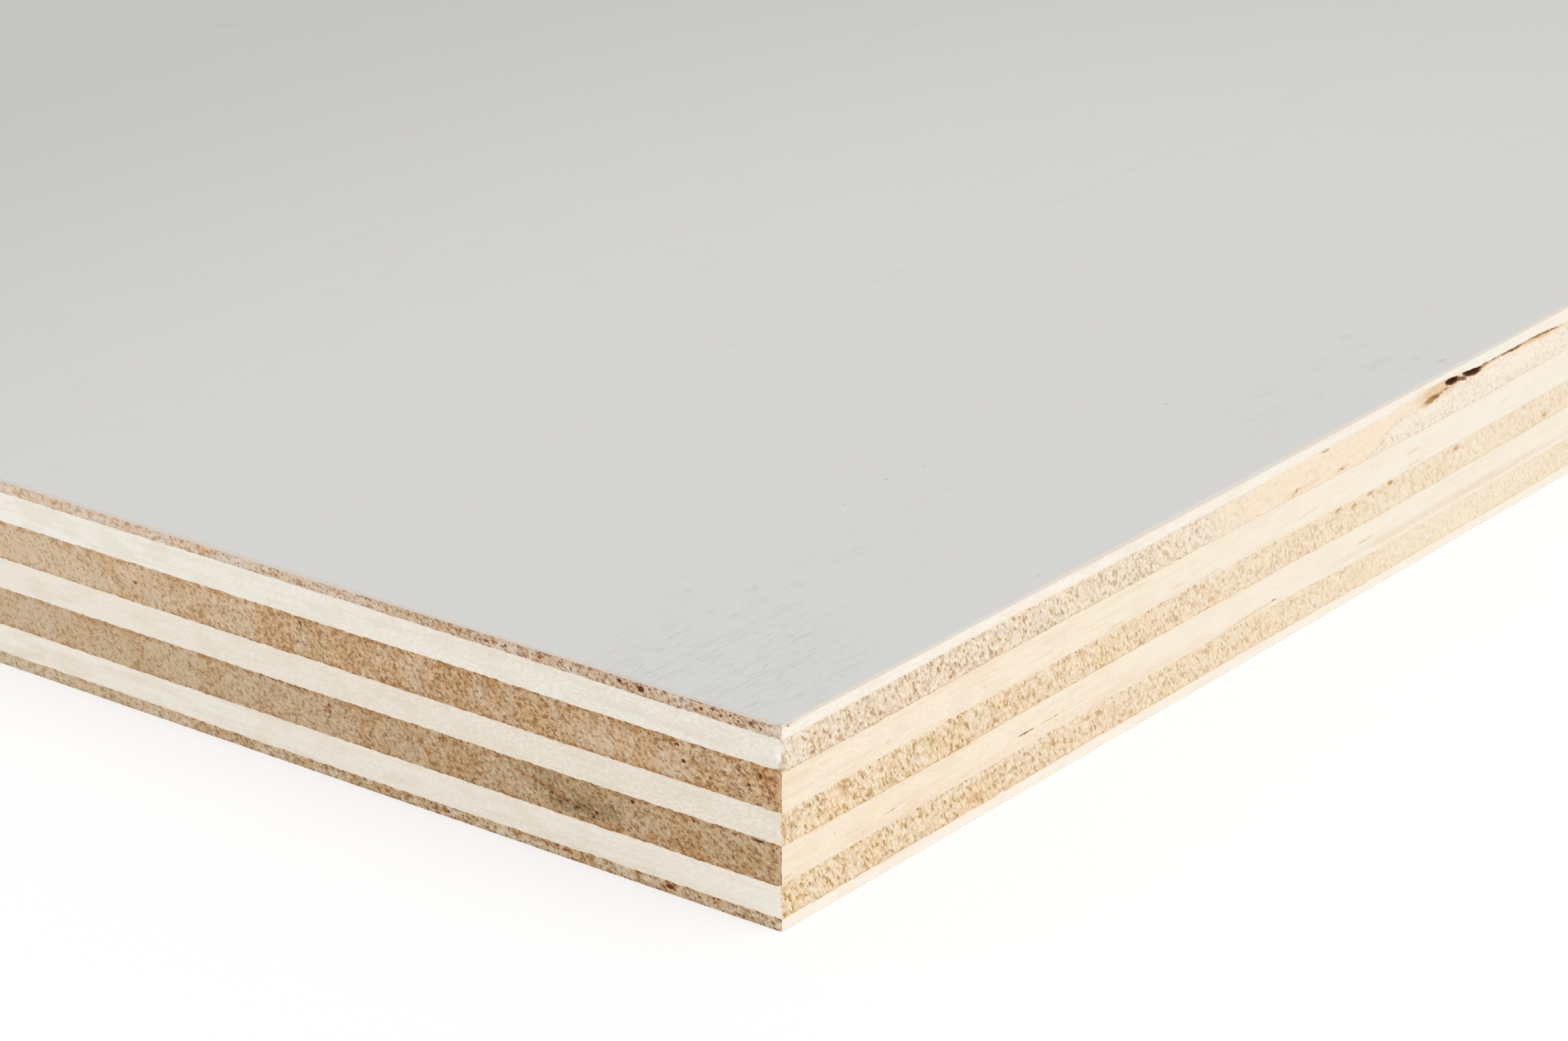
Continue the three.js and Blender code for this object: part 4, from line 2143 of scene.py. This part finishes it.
# The lay-up from the floor up.
VENEERS = (
    Veneer(
        node="back_veneer",
        grain=Grain.ALONG_X,
        seed=1,
        end=replace(
            BROWN_END,
            body=paint(197, 172, 139),
            pale=paint(236, 221, 199),
            pore=paint(136, 96, 54),
            faded_and_lit=paint(228, 211, 185),
            clot_mm=0.45,
            cool_share=0.4,
            rim_share=0.3,
        ),
        side=replace(
            CREAM_SIDE, body=paint(248, 239, 225), pale=paint(253, 247, 237), line=paint(242, 228, 207)
        ),
        left_marks=BACK_LEFT,
        rows=12,
        bottom_finish=PeeledFace(),
    ),
    Veneer(
        node="lower_crossband",
        grain=Grain.ALONG_Y,
        seed=2,
        end=STRAW_END,
        # Painted light: this side is drawn lighter than the other crossbands' white side, offsetting
        # the shade the floor casts on the lowest plies; its paler tone away from the front left corner
        # leaves the part by the corner darker, as painted shade.
        side=replace(
            WHITE_SIDE,
            body=paint(247, 238, 222),
            pale=paint(255, 251, 241),
            faded_and_lit=paint(254, 247, 233),
        ),
        front_marks=LOWER_CROSS_FRONT,
    ),
    Veneer(
        node="lower_long_ply",
        grain=Grain.ALONG_X,
        seed=3,
        end=replace(
            BROWN_END,
            body=paint(183, 153, 116),
            pale=paint(220, 193, 158),
            faded_and_lit=paint(221, 200, 170),
            rust_share=0.55,
        ),
        side=CREAM_SIDE,
        front_marks=LOWER_LONG_FRONT,
        left_marks=LOWER_LONG_LEFT,
    ),
    Veneer(
        node="core_crossband",
        grain=Grain.ALONG_Y,
        seed=4,
        end=STRAW_END,
        side=replace(
            WHITE_SIDE,
            body=paint(236, 226, 208),
            pale=paint(252, 245, 233),
            faded_and_lit=paint(250, 242, 227),
        ),
        front_marks=CORE_CROSS_FRONT,
        left_marks=CORE_CROSS_LEFT,
    ),
    Veneer(
        node="upper_long_ply",
        grain=Grain.ALONG_X,
        seed=5,
        end=BROWN_END,
        side=CREAM_SIDE,
        front_marks=UPPER_LONG_FRONT,
        left_marks=UPPER_LONG_LEFT,
    ),
    Veneer(
        node="upper_crossband",
        grain=Grain.ALONG_Y,
        seed=6,
        end=replace(
            STRAW_END,
            pale=paint(252, 239, 216),
            body=paint(235, 213, 184),
            gap=paint(196, 168, 124),
            faded_and_lit=paint(254, 244, 228),
            warm_share=0.3,
        ),
        side=WHITE_SIDE,
        front_marks=UPPER_CROSS_FRONT,
        left_marks=UPPER_CROSS_LEFT,
        worn_corner_mm=0.3,
    ),
    Veneer(
        node="face_veneer",
        grain=Grain.ALONG_X,
        seed=7,
        end=replace(
            BROWN_END,
            pale=paint(234, 216, 196),
            body=paint(208, 185, 160),
            pore=paint(150, 112, 86),
            speck=paint(112, 64, 42),
            clot_share=2.2,
            rust_share=0.35,
            rim_share=0.2,
            faded_and_lit=paint(241, 222, 202),
        ),
        side=replace(
            CREAM_SIDE,
            body=paint(247, 237, 222),
            pale=paint(254, 248, 238),
            line=paint(238, 221, 199),
            rim_share=0.7,
        ),
        front_marks=FACE_FRONT,
        left_marks=FACE_LEFT,
        rows=12,
    ),
)


@dataclass
class PlywoodSheet:
    """The whole sheet: seven veneers and the coat on the face."""

    coat_line_drop_mm: float = 0.08
    pieces: list[bpy.types.Object] = field(default_factory=list)

    def _coat(self, bottom: GlueLine, top: GlueLine) -> Layer:
        """Lays the grey coat on the face veneer.

        Args:
            bottom: The line under it.
            top: The coated face's height.

        Returns:
            The layer, ready to build.
        """
        coat = GreyCoat()
        rim = replace(
            coat, name="grey_coat_edge", body=paint(225, 217, 207), shade=paint(212, 204, 194), spots=()
        )
        edge = Face(Tear((0.5, 0.3), 0.0, 0.05, 0.0, 9), rim)
        return Layer(
            node="grey_face_coat",
            slot="grey_coat",
            bottom=bottom,
            top=top,
            rows=2,
            faces={side: edge for side in Side},
            worn_corner_mm=0.2,
            worn_corner_reach_mm=0.5,
            top_finish=coat,
        )

    def _lines(self) -> list[GlueLine]:
        """Sets out the floor, the glue lines and the coated face at the solid layers' heights.

        Returns:
            The lines, from the floor up.
        """
        tops = [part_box(veneer.node)[1].z / MM for veneer in VENEERS]
        return [
            GlueLine(0.0, seed=1, sway=0.0, jag=0.0),
            GlueLine(
                tops[0],
                seed=2,
                course=((45, -0.045), (96, -0.22), (165, 0)),
                left_course=((0, 0.03), (20, -0.06), (52, -0.13), (80, 0)),
            ),
            GlueLine(
                tops[1],
                seed=3,
                course=((45, 0.13), (75, -0.06), (90, -0.38), (165, 0)),
                left_course=((0, -0.13), (45, -0.24), (120, 0)),
            ),
            GlueLine(
                tops[2],
                seed=4,
                course=((0, -0.06), (20, -0.3), (36, -0.16), (60, -0.22), (92, -0.5), (165, 0)),
                left_course=((38, 0), (50, -0.06), (120, 0)),
            ),
            GlueLine(
                tops[3],
                seed=5,
                course=((0, -0.04), (21, 0.15), (37, -0.05), (56, -0.08), (96, -0.5), (165, 0)),
                left_course=((0, 0), (28, -0.06), (120, 0)),
            ),
            GlueLine(
                tops[4],
                seed=6,
                course=((0, -0.05), (12, -0.18), (24, -0.2), (60, -0.36), (98, -0.68), (165, 0)),
                left_course=((0, 0.03), (20, 0.09), (36, 0.22), (50, 0.1), (120, 0)),
            ),
            GlueLine(
                tops[5],
                seed=7,
                course=(
                    (0, -0.16),
                    (20, -0.22),
                    (28, -0.15),
                    (45, -0.31),
                    (66, -0.35),
                    (90, -0.2),
                    (97.5, 0.24),
                    (101, 0.22),
                    (107.5, -0.18),
                    (118, -0.2),
                    (124, -0.5),
                    (165, 0),
                ),
                left_course=((0, -0.09), (36, 0), (52, -0.06), (120, 0)),
            ),
            GlueLine(
                tops[6] - self.coat_line_drop_mm,
                seed=8,
                sway=0.02,
                jag=0.03,
                course=((0, -0.08), (15, -0.13), (30, -0.13), (60, -0.24), (95, -0.15), (165, 0)),
                left_course=((0, -0.1), (28, -0.05), (57, -0.14), (120, 0)),
            ),
            GlueLine(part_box("grey_face_coat")[1].z / MM, seed=9, sway=0.0, jag=0.0),
        ]

    def build(self) -> None:
        """Builds every layer from the floor up."""
        stations = OUTLINE.stations()
        lines = self._lines()
        layers = [
            veneer.layer(bottom, top) for veneer, bottom, top in zip(VENEERS, lines, lines[1:])
        ]
        layers.append(self._coat(lines[-2], lines[-1]))
        for layer in layers:
            piece = layer.build(OUTLINE, stations)
            self.pieces.append(piece)
            LOG.info("%s: %d faces", piece.name, len(piece.data.polygons))


# ---------------------------------------------------------------------------------------------
# The studio


@dataclass(frozen=True)
class Studio:
    """A white floor under soft light, and the camera by the sheet's front left corner."""

    floor_size: float = 120.0
    floor_drop: float = 0.00002
    floor_lift: float = 0.66
    sky_level: float = 0.78
    lamp_level: float = 0.8
    lamp_spread: float = 35.0
    lamp_tilt: tuple[float, float] = (28.0, 10.0)
    camera_place: tuple[float, float, float] = (-1.5018, -0.82663, 0.17783)
    camera_yaw: float = 52.476
    camera_pitch: float = 21.874
    camera_lens: float = 114.9
    camera_sensor: float = 36.0
    camera_reach: tuple[float, float] = (0.01, 200.0)

    def _seen(self, graph: Graph) -> Value:
        """Tells the rays that show or mirror a surface from those that only carry its light.

        Args:
            graph: The graph of the floor's material or of the sky.

        Returns:
            1 for a ray that shows or mirrors it, and otherwise 0.
        """
        path = graph.place("ShaderNodeLightPath")
        seen = sum(
            (Value(graph, path.outputs[f"Is {ray} Ray"]) for ray in ("Glossy", "Transmission")),
            start=Value(graph, path.outputs["Is Camera Ray"]),
        )
        return seen.rise(0.0, 1.0)

    def _floor(self) -> None:
        """Lays the floor, which shows nearly white and keeps the sheet's shadow."""
        mesh = bpy.data.meshes.new("floor")
        half = self.floor_size / 2
        z = -self.floor_drop
        corners = [(-half, -half, z), (half, -half, z), (half, half, z), (-half, half, z)]
        mesh.from_pydata(corners, [], [(0, 1, 2, 3)])
        material, graph = new_material("floor_white")
        lit = graph.node("ShaderNodeBsdfDiffuse", None, {"Color": (1.0, 1.0, 1.0, 1.0)})
        glow = graph.node("ShaderNodeEmission", None, {"Strength": 1.0})
        lift = self._seen(graph) * self.floor_lift
        mixed = graph.node("ShaderNodeMixShader", None, {0: lift, 1: lit, 2: glow})
        graph.place("ShaderNodeOutputMaterial", None, {"Surface": mixed})
        mesh.materials.append(material)
        floor = bpy.data.objects.new("floor", mesh)
        bpy.context.scene.collection.objects.link(floor)

    def _sky(self) -> None:
        """Surrounds the scene with even light, and shows pure white where it is seen."""
        world = bpy.data.worlds.new("studio")
        world.use_nodes = True
        bpy.context.scene.world = world
        graph = Graph(world.node_tree)
        strength = self._seen(graph) * (1 - self.sky_level) + self.sky_level
        sky = graph.node(
            "ShaderNodeBackground", None, {"Color": (1.0, 1.0, 1.0, 1.0), "Strength": strength}
        )
        graph.place("ShaderNodeOutputWorld", None, {"Surface": sky})

    def _lamp(self) -> None:
        """Hangs one broad soft lamp high over the front."""
        lamp = bpy.data.lights.new("soft_lamp", "SUN")
        lamp.energy = self.lamp_level
        lamp.angle = math.radians(self.lamp_spread)
        hung = bpy.data.objects.new("soft_lamp", lamp)
        hung.rotation_euler = (*map(math.radians, self.lamp_tilt), 0.0)
        bpy.context.scene.collection.objects.link(hung)

    def _camera(self) -> None:
        """Sets up the camera, level and looking down along both near sides."""
        camera = bpy.data.cameras.new("camera")
        camera.lens = self.camera_lens
        camera.sensor_fit = "HORIZONTAL"
        camera.sensor_width = self.camera_sensor
        camera.clip_start, camera.clip_end = self.camera_reach
        stand = bpy.data.objects.new("camera", camera)
        stand.location = self.camera_place
        stand.rotation_euler = (
            math.radians(90 - self.camera_pitch),
            0.0,
            -math.radians(self.camera_yaw),
        )
        bpy.context.scene.collection.objects.link(stand)
        bpy.context.scene.camera = stand

    def build(self) -> None:
        """Sets up the floor, the light and the camera."""
        self._floor()
        self._sky()
        self._lamp()
        self._camera()
        bpy.context.scene.view_settings.view_transform = "Standard"


def main() -> None:
    """Builds the sheet and the studio, and notes how many pieces the sheet has."""
    logging.basicConfig(level=logging.INFO, format="%(message)s")
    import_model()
    sheet = PlywoodSheet()
    sheet.build()
    Studio().build()
    LOG.info("sheet: %d pieces", len(sheet.pieces))


if __name__ == "__main__":
    main()
